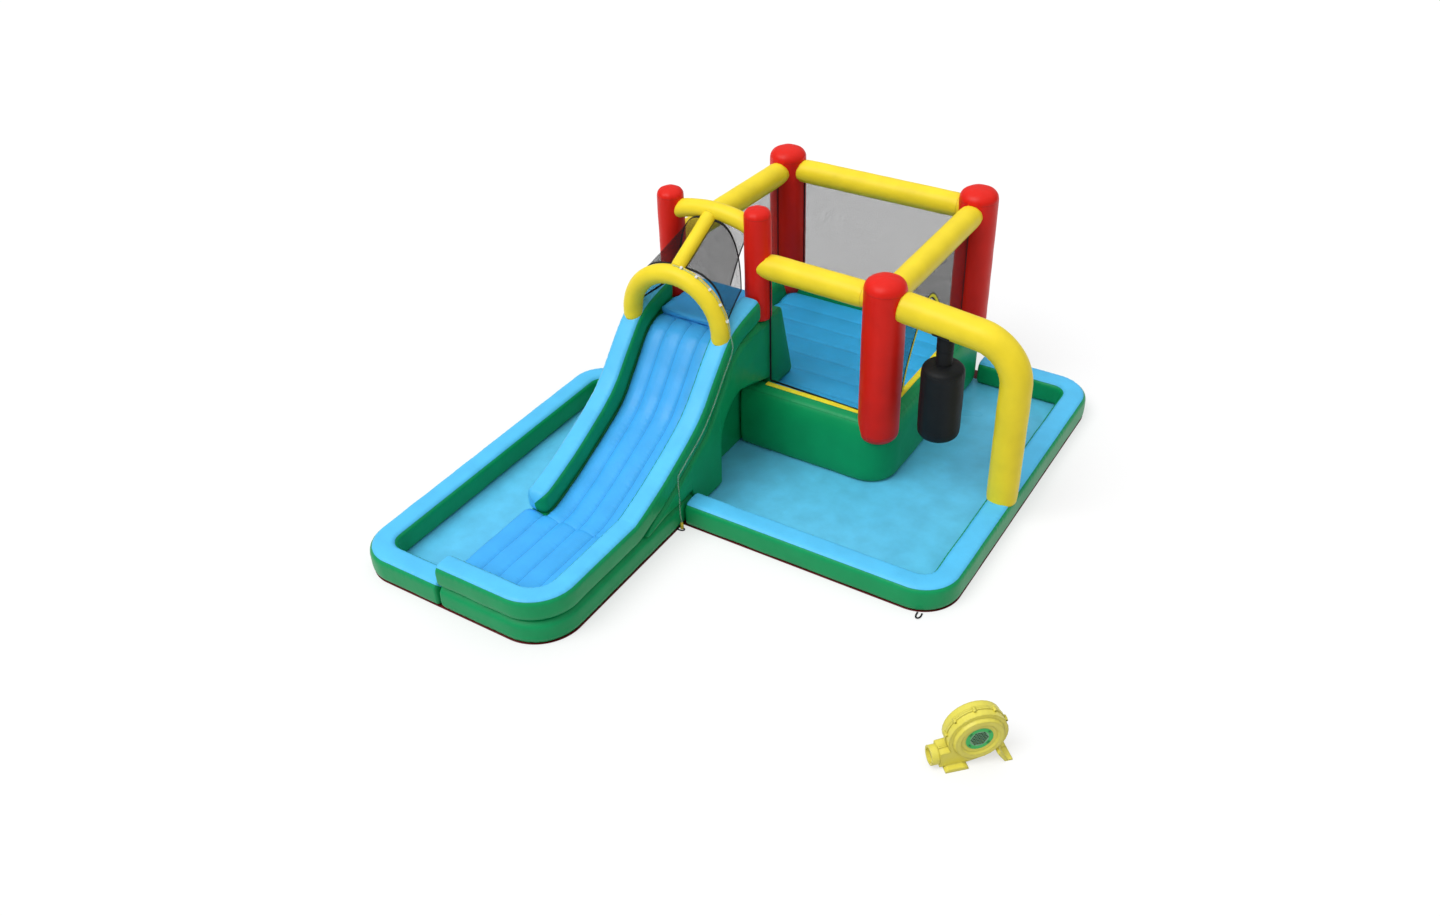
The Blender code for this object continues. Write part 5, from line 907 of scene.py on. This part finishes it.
def make_beams():
    """Level tubes between columns, their ends cut to the columns' round sides."""
    for name, start, end, seed in (
            ("back_beam", "back_left", "back_right", 141), ("right_beam", "front_right", "back_right", 145),
            ("front_beam", "slide_right", "front_right", 149), ("left_beam", "slide_left", "back_left", 153)):
        low, high = (np.array((*COLUMNS[column][:2], BEAM_HEIGHT)) for column in (start, end))
        length = np.linalg.norm(high - low)
        count = round(length / PACE)
        ring, turn = round_rings(low + (high - low) * np.linspace(0, 1, count)[:, None], BEAM_RADIUS)
        ring = ring[0] - low
        ahead = (high - low) / length
        offset = ring @ (ahead[1], -ahead[0], 0.0)
        near, far = (np.sqrt(np.clip(COLUMNS[column][2] ** 2 - offset ** 2, 0.0001, None)) - 0.004
                     for column in (start, end))
        far = length - far
        run = near + (far - near) * np.linspace(0, 1, count)[:, None]
        places = ring + low + run[:, :, None] * ahead
        from_end = np.minimum(run - near, far - run)
        run = run - near.min()
        around = turn * BEAM_RADIUS
        move = hump(from_end, 0.03) * (0.0035 * ripple(around, run, seed, 0.03, 0.07) - 0.006)
        move = move + 0.0015 * ripple(run, around, seed + 1, 0.2, 0.5)
        move = move - 0.003 * hump(np.abs(turn + math.pi / 2) % (2 * math.pi) * BEAM_RADIUS, 0.02)
        finish = vinyl(name + "_vinyl", (YELLOW,), ends=(0.004, float(far.min() - near.min())), roughness=0.4)
        skin(name, swelled(places, move), run, around, finish)


def bow(centre, radii, start, end, steps=60):
    turn = np.radians(np.linspace(start, end, steps))
    return np.stack([centre[0] + radii[0] * np.cos(turn), np.full(steps, centre[1]),
                     centre[2] + radii[1] * np.sin(turn)], axis=1)


def arch(name, line, radius, seed, folds=0.0):
    """A bent tube with compression folds on the inner side of its bend."""
    line = even_steps(line, 0.01)
    places, turn = round_rings(line, radius)
    run, around = run_along(line)[:, None], turn * radius
    bend = np.linalg.norm(np.gradient(np.gradient(line, axis=0), axis=0), axis=1) / (0.01 ** 2)
    bend = np.convolve(np.pad(bend, 4, mode="edge"), np.ones(9) / 9, mode="valid")
    bend = np.clip(bend / max(bend.max(), 1e-6), 0, 1)[:, None]
    inner = hump(np.abs(turn + math.pi / 2) % (2 * math.pi), 1.0)
    move = folds * bend * np.maximum(inner, inner[:, ::-1]) * ripple(run, around, seed, 0.04, 0.07)
    from_end = np.minimum(run, run[-1] - run)
    move = move + hump(from_end, 0.03) * (0.0025 * ripple(around, run, seed + 1, 0.03, 0.06) - 0.004)
    move = move + 0.0014 * ripple(run, around, seed + 2, 0.2, 0.5)
    finish = vinyl(name + "_vinyl", (YELLOW,), ends=(0.004, float(run[-1, 0]) - 0.004), roughness=0.4)
    mesh = grid_mesh(name + "_skin", swelled(places, move), run, around)
    work = bmesh.new()
    work.from_mesh(mesh)
    bmesh.ops.holes_fill(work, edges=work.edges, sides=0)
    work.to_mesh(mesh)
    work.free()
    piece(name + "_skin", mesh, finish, (name,))


def make_arches():
    bend = bow((1.535, BAG_Y, 1.19), (0.34, 0.34), 84.0, 0.0, 30)
    line = np.concatenate([[(0.975, BAG_Y, 1.589)], bend, [(POOL_X, BAG_Y, 0.19)]])
    arch("swing_arch", line, 0.116, 161, 0.0035)
    arch("tunnel_arch", bow((-0.645, 0.574, 1.82), (0.39, 0.13), 170.0, 10.0), 0.07, 165, 0.002)
    bend = bow((LANE_X, SPRAY_Y, 1.26), (0.4, 0.4), 180.0, 0.0)
    line = np.concatenate([[(LEFT_X, SPRAY_Y, 1.2)], bend, [(RIGHT_X, SPRAY_Y, 1.2)]])
    arch("spray_arch", line, 0.075, 169, 0.0028)
    arch("ridge_tube", [(LANE_X, 0.07, 1.686), (-0.646, 0.53, 1.928)], 0.059, 173)


# Tapes, nets and bindings

def tape(name, line, facing, width, thickness, finish, stands_for=(), wave=0.0, seed=0,
         pace=0.006):
    """A flat tape along a line, its broad side turned the way it faces."""
    line = np.asarray(line, float)
    facing = np.broadcast_to(np.asarray(facing, float), line.shape)
    both = even_steps(np.concatenate([line, facing], axis=1), pace)
    line, facing = both[:, :3], both[:, 3:]
    ahead = unit(np.gradient(line, axis=0))
    side = unit(np.cross(ahead, facing))
    face = unit(np.cross(side, ahead))
    run = run_along(line)
    if wave:
        line = line + face * (wave * ripple(run, run * 0, seed, 0.05, 0.16))[:, None]
    turn = np.linspace(0.0, 2 * math.pi, 17)
    a, b = (np.sign(part) * np.abs(part) ** 0.45 * size / 2
            for part, size in ((np.cos(turn), width), (np.sin(turn), thickness)))
    places = line[:, None, :] + side[:, None, :] * a[None, :, None] + face[:, None, :] * b[None, :, None]
    places[:, -1] = places[:, 0]
    places, run = capped(places, run)
    return piece(name, grid_mesh(name, places, run[:, None], a), finish, stands_for)


def doorway(start):
    """A doorway's edge, as distance along the net and height."""
    shares = [(1, 0), (0.97, 0.13), (0.86, 0.3), (0.71, 0.47), (0.53, 0.65), (0.36, 0.81), (0.17, 0.95),
              (0, 1)]
    shares += [(-a, b) for a, b in shares[-2::-1]]
    edge = even_steps([(start + DOOR_HALF - DOOR_HALF * a, NET_FOOT + DOOR_HEIGHT * b) for a, b in shares],
                      0.01)
    for _ in range(30):
        edge[1:-1] = (edge[:-2] + 2 * edge[1:-1] + edge[2:]) / 4
    return edge


def hung_net(name, start, end, finish, black, seed, door=None):
    """A net between two columns from the base up to the beam, with its bindings."""
    start, end, near, far = (*(np.array(COLUMNS[column][:2]) for column in (start, end)),
                             *(COLUMNS[column][2] + 0.002 for column in (start, end)))
    span = np.linalg.norm(end - start)
    stop = span - far
    ahead = (end - start) / span
    at = np.linspace(near, stop, 60)
    low = np.full(60, NET_FOOT)
    edge = doorway(door) if door else None
    if door:
        at = np.unique(np.round(np.concatenate([at, edge[:, 0]]), 5))
        low = np.interp(at, edge[:, 0], edge[:, 1], left=NET_FOOT, right=NET_FOOT)
    share = np.linspace(0.0, 1.0, 22)
    z = low[:, None] + (NET_TOP - low)[:, None] * share
    along = np.broadcast_to(at[:, None], z.shape)
    billow = 0.004 * np.sin(math.pi * (along - near) / (stop - near)) * np.sin(math.pi * share)
    billow = billow * ripple(along, z, seed, 0.3, 0.8) + 0.0012 * ripple(z, along, seed + 1, 0.1, 0.25)
    side = np.array((ahead[1], -ahead[0]))
    plan = start + ahead * along[:, :, None] + side * billow[:, :, None]
    mesh = grid_mesh(name + "_mesh", np.concatenate([plan, z[:, :, None]], axis=2), along, z, closed=False)
    made = piece(name + "_mesh", mesh, finish, (name,))

    edges = {"top": [(near, NET_TOP), (stop, NET_TOP)], "near": [(near, NET_FOOT), (near, NET_TOP)],
             "far": [(stop, NET_FOOT), (stop, NET_TOP)]}
    if door:
        edges["near_foot"] = [(near, NET_FOOT), (door, NET_FOOT)]
        edges["far_foot"] = [(door + 2 * DOOR_HALF, NET_FOOT), (stop, NET_FOOT)]
        edges["door"] = edge
    else:
        edges["foot"] = [(near, NET_FOOT), (stop, NET_FOOT)]
    bindings = [tape(name + "_binding_" + kind, [(*(start + ahead * a), b) for a, b in line], (*side, 0.0),
                     0.018, 0.0042, black, pace=0.012) for kind, line in edges.items()]
    stop - near
    return edge


def make_nets():
    mesh = netting("room_netting", 0.0016)
    black = tape_finish("net_binding", BLACK, 0.018)
    hung_net("back_net", "back_left", "back_right", mesh, black, 201)
    door = hung_net("right_net", "front_right", "back_right", mesh, black, 205, 0.4303)
    hung_net("left_net", "slide_left", "back_left", mesh, black, 209, 0.6503)
    hung_net("front_net", "slide_right", "front_right", netting("front_netting", 0.0003), black, 213)

    x, y = COLUMNS["front_right"][:2]
    yellow = tape_finish("doorway_edging", YELLOW, 0.026, (0.5, 0.35, 0.02))
    normal = unit(np.stack([np.gradient(door[:, 1]), -np.gradient(door[:, 0])], axis=1))
    inward = ((door - door.mean(axis=0)) * normal).sum(axis=1, keepdims=True) < 0
    normal = np.where(inward, -normal, normal)
    for name, grow, finish, width in (("doorway_edging", 0.017, yellow, 0.026),
                                      ("doorway_zip", 0.034, black, 0.009)):
        line = [(x + 0.0035, y + a, max(b, NET_FOOT)) for a, b in door + normal * grow]
        tape(name, line, (1.0, 0.0, 0.0), width, 0.005, finish, pace=0.01)


def make_edge_strips():
    yellow = tape_finish("edge_strip_vinyl", YELLOW, 0.05, (0.55, 0.36, 0.02), roughness=0.5)
    level = 0.5757
    for name, ends, seed in (("front", [(-0.159, 0.522, level), (0.674, 0.522, level)], 221),
                             ("right", [(0.843, 0.691, level), (0.843, 2.074, level)], 223)):
        tape(name + "_strip_tape", ends, (0, 0, 1), 0.0498, 0.0036, yellow,
             (name + "_edge_strip",), 0.0006, seed)


def make_canopy():
    """Netting over the slide top, one curved sheet each side of the ridge tube, with thin bindings."""
    knit = netting("canopy_netting", 0.0014)
    black = tape_finish("canopy_binding", BLACK, 0.012)
    front, depth, front_half, back_half = 0.0946, 0.4088, 0.4, 0.2817
    y = np.linspace(0.0955, 0.5025, 40)[:, None]
    share = (y - front) / depth
    half = front_half + (back_half - front_half) * share
    middle = LANE_X + 0.01 * (y - SPRAY_Y) / 0.555
    ridge = 1.6594 + 0.5236 * (y - SPRAY_Y)
    foot = crest(y)[0] + 0.004
    turn = np.linspace(0.0, math.pi / 2, 30)
    across = 0.052 + (half - 0.054) * np.sin(turn) ** 0.8
    up = foot + (ridge - foot) * np.cos(turn) ** 0.8 - 0.002
    up[:, -1:] = foot
    for side, name in ((-1, "left_canopy_net"), (1, "right_canopy_net")):
        places = grid_of(middle + side * across, y, up)
        sag = 0.004 * ripple(y, up, 231, 0.12, 0.3) * np.sin(math.pi * share)
        normal = unit(np.cross(np.gradient(places, axis=0), np.gradient(places, axis=1)))
        places = places - np.abs(sag)[:, :, None] * normal * np.sign(normal[:, :, 2:3] + 1e-9)
        steps = np.linalg.norm(np.diff(places, axis=1), axis=2)
        around = np.concatenate([np.zeros((len(y), 1)), np.cumsum(steps, axis=1)], axis=1)
        mesh = grid_mesh(name + "_mesh", places, y, around, closed=False)
        made = piece(name + "_mesh", mesh, knit, (name,))
        edges = {"ridge": (slice(None), 0), "foot": (slice(None), -1), "front": 0, "back": -1}
        bindings = [tape(name + "_" + kind, places[edge], normal[edge], 0.019, 0.005, black,
                         pace=0.01) for kind, edge in edges.items()]


def make_ladder():
    """Webbing ladder sewn to the climbing wall: two long straps and five rungs."""
    black = tape_finish("ladder_webbing", BLACK, 0.05, (0.09, 0.09, 0.095))
    base, up, out = np.array((0.985, 0.4403)), np.array((-0.2491, 0.9685)), np.array((0.9685, 0.2491))
    strap_x, rung_half = 0.185, 0.2

    def spot(x, along, off=0.0034):
        return (LANE_X + x, *(base + up * along + out * off))

    for side, name in ((-1, "ladder_strap_left"), (1, "ladder_strap_right")):
        line = [spot(side * strap_x, along) for along in (0.05, 0.36, 0.6725)]
        tape(name, line, (0.0, *out), 0.05, 0.005, black, ("climbing_ladder",), 0.0006, 241)
    for number in range(5):
        along = 0.075 + 0.143125 * number
        line = [spot(x, along, 0.0036 + 0.006 * (1 - (x / strap_x) ** 2))
                for x in np.linspace(-rung_half, rung_half, 15)]
        tape("ladder_rung_%d" % (number + 1), line, (0.0, *out), 0.046, 0.006, black, wave=0.0005,
             seed=243 + number)


# Bag, hose, sleeve, loops

def neck_tube(name, radius, high, low, seed, finish):
    """A sleeve of cloth between two bodies: an upright creased tube, capped at both ends."""
    z = np.linspace(high, low, 26)
    rings, turn = turned_rings((BAG_X, BAG_Y), np.stack([radius + 0 * z, z], axis=1), 48)
    up, around = z[:, None], turn * radius
    folds = 0.0016 * ripple(around, up, seed, 0.03, 0.07) - 0.0012 * ripple(up, around, seed + 1, 0.03, 0.06)
    rings, z = capped(swelled(rings, folds), z)
    made = linked(name, grid_mesh(name, rings, around, z[:, None]))
    made.data.materials.append(finish)
    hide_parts("bag_link")
    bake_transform(made)


def make_bag():
    turn = np.linspace(0.0, math.pi / 2, 12)
    top, bottom, bend = 1.22, 0.59, 0.06
    shoulder = np.stack([0.04 + 0.12 * np.sin(turn), top - bend + bend * np.cos(turn)], axis=1)
    corner = np.stack([BAG_RADIUS - bend + bend * np.cos(turn), bottom + bend - bend * np.sin(turn)], axis=1)
    profile = np.concatenate([[(0.0001, top)], shoulder, corner, [(0.0001, bottom)]])
    profile = even_steps(profile, 0.0095)[::-1]
    profile[0, 0] = profile[-1, 0] = 0.0001
    rings, around = turned_rings((BAG_X, BAG_Y), profile, 72)
    run = run_along(profile)
    seams = tuple(float(np.interp(height, profile[:, 1], run)) for height in (0.647, 1.163))
    up, wide = run[:, None], around * BAG_RADIUS
    near = hump(up - seams[1], 0.02) + hump(up - seams[0], 0.02)
    move = near * (0.0022 * ripple(wide, up, 251, 0.03, 0.06) - 0.0035)
    move = move - 0.0025 * hump((np.mod(around + 0.6, math.pi) - math.pi / 2) * BAG_RADIUS, 0.007)
    move = move + 0.0022 * ripple(up, wide, 252, 0.12, 0.35)
    black = vinyl("bag_vinyl", (BLACK,), seams=seams, roughness=0.55, tint=0.25)
    skin("bag", pointed(swelled(rings, move)), wide, up, black, ("punching_bag",), "bag")

    sock = vinyl("neck_vinyl", (BLACK,), seams=(0.0,), roughness=0.62, tint=0.25)
    neck_tube("neck_upper", 0.0635, 1.462, 1.338, 255, sock)
    neck_tube("neck_lower", 0.061, 1.352, 1.211, 258, sock)

    inner, outer, slope, arch_height = 0.1188, 0.119, -0.0974, 1.5521
    angle = np.radians(np.linspace(-148.0, -32.0, 28))
    x = np.linspace(-0.066, 0.066, 11)[:, None]
    places = grid_of(BAG_X + x - slope * outer * np.sin(angle), BAG_Y + inner * np.cos(angle),
                     arch_height + slope * x + inner * np.sin(angle))
    mesh = grid_mesh("bag_patch", places, x, angle * outer, closed=False)
    cloth = tape_finish("bag_patch_cloth", BLACK, 0.3, (0.08, 0.08, 0.085))
    thicken(piece("bag_patch", mesh, cloth, ("bag_hanger",)), 0.0025, 0.0)


def hose_route():
    """Route of the water hose from the top of the spray arch down to the tap connector."""
    rows = [(-0.74, 0.62854, 1.11724), (-0.451, 0.79, 1.236), (-0.268, 0.974, 1.513), (-0.117, 1.137, 1.432),
            (-0.021, 1.22622, 1.28235)]
    side_x, bend = -0.1537, (0.4824, 1.2594)
    points = [(*CONNECTOR, z) for z in (0.0636, 0.0756, 0.0876)]
    points += [(side_x, CONNECTOR[1], 0.0636 + 0.41322 * share) for share in (0.15, 0.4, 0.7, 1.0)]
    points += [(side_x, y, z - 0.1 * stretch) for y, z, stretch in rows]
    points += [(side_x, SPRAY_Y, 1.1594), (side_x, SPRAY_Y, 1.2094)]
    for share in (0.06, 0.18, 0.3, 0.42, 0.54, 0.66, 0.78, 0.9, 1.0):
        a = math.pi / 2 * share
        points.append((LANE_X + bend[0] * math.cos(a), SPRAY_Y, bend[1] + bend[0] * math.sin(a)))
    knots = np.array([points[0]] + points + [points[-1]])
    line = []
    for before, here, after, beyond in zip(knots, knots[1:], knots[2:], knots[3:]):
        for share in np.linspace(0, 1, 12, endpoint=False):
            line.append(0.5 * (2 * here + (after - before) * share
                               + (2 * before - 5 * here + 4 * after - beyond) * share ** 2
                               + (3 * here - before - 3 * after + beyond) * share ** 3))
    return np.array(line + [points[-1]])[::-1]


def make_hose():
    line = hose_route()
    curve = bpy.data.curves.new("water_hose_line", "CURVE")
    curve.dimensions = "3D"
    curve.bevel_depth = 0.006
    curve.bevel_resolution = 5
    curve.use_fill_caps = True
    spline = curve.splines.new("POLY")
    spline.points.add(len(line) - 1)
    spline.points.foreach_set("co", np.concatenate([line, np.ones((len(line), 1))], axis=1).ravel())
    hose = linked("water_hose_line", curve)
    curve.materials.append(clear_tube("hose_vinyl"))
    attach(hose, "inflatable")
    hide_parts("water_hose")
    white = plastic("clip_plastic", (0.84, 0.85, 0.84), 0.35)
    clips = ["hose_clip_%d" % (number + 1) for number in range(5)]
    for clip in clips:
        dress(clip, white)

    profile = [(0.0001, 0.0596), (0.0085, 0.0596), (0.0088, 0.05), (0.0105, 0.048), (0.0105, 0.043),
               (0.0132, 0.041), (0.0132, 0.024), (0.0105, 0.022), (0.0105, 0.018), (0.0138, 0.0165),
               (0.0138, 0.0), (0.0105, 0.0), (0.0105, 0.012), (0.0001, 0.012)]
    spun = turned("tap_connector", profile, Matrix.Translation((*CONNECTOR, 0.0034)), 40, 0.0006)
    brass = plastic("connector_plastic", (0.85, 0.62, 0.04), 0.4)
    connector = piece("tap_connector", spun, brass, ("hose_connector",))


def turned(name, profile, spot, sides, ease):
    """A turned piece from a half outline of (radius, height), spun round with its edges eased."""
    work = bmesh.new()
    ring = [work.verts.new((radius, 0.0, height)) for radius, height in profile]
    for pair in zip(ring, ring[1:]):
        work.edges.new(pair)
    bmesh.ops.spin(work, geom=work.verts[:] + work.edges[:], cent=(0, 0, 0), axis=(0, 0, 1), steps=sides,
                   angle=2 * math.pi, use_merge=True)
    bmesh.ops.remove_doubles(work, verts=work.verts, dist=0.00012)
    bmesh.ops.recalc_face_normals(work, faces=work.faces)
    sharp = [edge for edge in work.edges if edge.is_manifold and edge.calc_face_angle(0) > 0.6]
    bmesh.ops.bevel(work, geom=sharp, offset=ease, segments=2, profile=0.5, affect="EDGES", material=-1)
    bmesh.ops.transform(work, matrix=spot, verts=work.verts)
    return as_mesh(name, work, smooth=True, sharp=38)


def dress(name, finish):
    """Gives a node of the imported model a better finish."""
    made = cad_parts[name]
    for slot in made.material_slots:
        slot.material = finish
    if not made.material_slots:
        made.data.materials.append(finish)


def make_sleeve():
    """Inflation sleeve of single cloth, its free end flattened and creased, with its tie."""
    middle_y, radius, tie_x = 1.6, 0.067, -1.13
    x = np.linspace(-1.398, -1.074, 60)[:, None]
    free = np.clip((-1.1 - x) / 0.3, 0, 1) ** 1.4
    turn = np.linspace(-math.pi / 2, 1.5 * math.pi, 57)
    y = middle_y + (radius + 0.018 * free) * np.cos(turn)
    z = GROUND + 0.0025 + (radius - 0.028 * free) * (1 + np.sin(turn))
    around = turn * radius
    crease = 0.004 * free * ripple(around, x, 261, 0.05, 0.12) + 0.0015 * ripple(x, around, 262, 0.04, 0.1)
    gather = hump(x - tie_x, 0.018)
    crease = crease - gather * 0.008 + gather * 0.003 * ripple(around, x, 263, 0.025, 0.05)
    places = swelled(grid_of(x, y, z), crease)
    places[:, :, 2] = np.maximum(places[:, :, 2], GROUND + 0.0022)
    green = vinyl("sleeve_vinyl", (GREEN,), ends=(-1.385,), roughness=0.45)
    made = piece("sleeve_cloth", grid_mesh("sleeve_cloth", places, x, around), green,
                 ("inflation_sleeve",))
    thicken(made, 0.0016)
    tie_radius, tie_height = 0.0625, 0.0733
    ring = np.radians(np.linspace(-90.0, 262.0, 40))
    facing = np.stack([np.zeros(40), np.cos(ring), np.sin(ring)], axis=1)
    line = np.array((tie_x, middle_y, tie_height)) + tie_radius * facing
    tie = tape("sleeve_tie", line, facing, 0.022, 0.0035, tape_finish("tie_webbing", BLACK, 0.022))


def make_anchor_loops():
    """Narrow black loops at the foot, for pegs."""
    black = tape_finish("loop_webbing", BLACK, 0.013)
    shape = [(-0.02, -0.017, 0.0042), (0.004, -0.018, 0.004), (0.018, -0.017, 0.006), (0.033, -0.013, 0.009),
             (0.043, -0.005, 0.010), (0.043, 0.005, 0.010), (0.033, 0.012, 0.008), (0.018, 0.016, 0.006),
             (0.004, 0.017, 0.004), (-0.02, 0.016, 0.0042)]
    spots = [(1.8, -0.74, 0.1, -1.0), (-0.16, -0.79, 1.0, -0.15), (-0.7, 2.382, -0.1, 1.0),
             (1.8, 2.37, 0.2, 1.0)]
    for number, (x, y, out_x, out_y) in enumerate(spots):
        out = unit(np.array((out_x, out_y, 0.0)))
        side = np.array((out[1], -out[0], 0.0))
        line = [np.array((x, y, z)) + out * a + side * b for a, b, z in shape]
        tape("anchor_loop_%d" % (number + 1), line, (0.0, 0.0, 1.0), 0.013, 0.005, black, pace=0.003)


# Blower

BLOWER = Matrix.Translation(BLOWER_SPOT) @ Matrix.Rotation(math.radians(45.0), 4, "Z")


def on_circle(radius, y, angle):
    """A place on a circle that faces the blower's front."""
    a = math.radians(angle)
    return BLOWER @ Matrix.Translation((radius * math.cos(a), y, radius * math.sin(a)))


def intake_green():
    """Green of the intake plate, paler on its screen."""
    finish = Finish("intake_plate_green")
    away = finish.wire("VectorMath", {0: finish.place, 1: BLOWER_SPOT}, "Value", operation="DISTANCE")
    patch = finish.noise(40.0, 3.0)
    green = finish.blend(patch, (0.014, 0.46, 0.085), (0.024, 0.58, 0.115))
    pale = finish.blend(patch, (0.13, 0.34, 0.17), (0.24, 0.46, 0.28))
    screen = finish.remap(away, 0.0945, 0.0938)
    return finish.done(finish.blend(screen, green, pale), 0.4, patch, patch * 0.0004)


def make_blower():
    yellow = plastic("blower_yellow", (0.83, 0.74, 0.10), 0.42, soften=0.016)
    for name in ("blower_front_half", "blower_back_half", "blower_outlet", "blower_motor"):
        dress(name, yellow)
    dress("blower_impeller", plastic("impeller_black", (0.025, 0.026, 0.028), 0.45))
    dress("blower_rocker", plastic("rocker_black", (0.012, 0.012, 0.013), 0.3))
    dress("blower_grille", intake_green())

    forward = Matrix.Rotation(math.pi / 2, 4, "X")
    screw_circle, screw_y, clip_circle, clip_y = 0.196, -0.0122, 0.0745, -0.0738
    post = [(0.0046, 0.004), (0.0046, 0.0165), (0.0082, 0.0165), (0.0098, 0.0)]
    head = [(0.0001, 0.0085), (0.0025, 0.009), (0.0043, 0.0075), (0.0044, 0.004), (0.0001, 0.004)]
    for name, profile, finish in (("blower_screw_posts", post, yellow),
                                  ("blower_screws", head, plastic("screw_black", (0.03, 0.03, 0.032), 0.3))):
        work = bmesh.new()
        for angle in (-62.0, -22.0, 18.0, 58.0, 98.0, 138.0, 172.0):
            single = turned("single", profile, on_circle(screw_circle, screw_y, angle) @ forward, 24, 0.0005)
            work.from_mesh(single)
            bpy.data.meshes.remove(single)
        piece(name, as_mesh(name, work, smooth=True, sharp=38), finish)

    work = bmesh.new()
    for angle in (38.0, 142.0, 218.0, 322.0):
        spot = on_circle(clip_circle, clip_y, angle) @ Matrix.Rotation(-math.radians(angle), 4, "Y")
        made = bmesh.ops.create_cube(work, size=1.0)["verts"]
        bmesh.ops.transform(work, matrix=spot @ Matrix.Diagonal((0.009, 0.003, 0.022, 1.0)), verts=made)
    bmesh.ops.bevel(work, geom=work.edges[:], offset=0.0011, segments=3, profile=0.5, affect="EDGES",
                    material=-1)
    green = plastic("clip_green", (0.008, 0.2, 0.045), 0.4)
    piece("intake_clips", as_mesh("intake_clips", work, smooth=True), green)


bpy.context.scene.view_settings.view_transform = "Standard"
for make in (place_camera, light_the_stage, make_hose, make_pool_walls, make_sheets, make_lane,
             make_mattresses, make_side_panels, make_deck_and_climb, make_base, make_columns, make_beams,
             make_arches, make_nets, make_edge_strips, make_canopy, make_ladder, make_bag, make_sleeve,
             make_anchor_loops, make_blower):
    make()
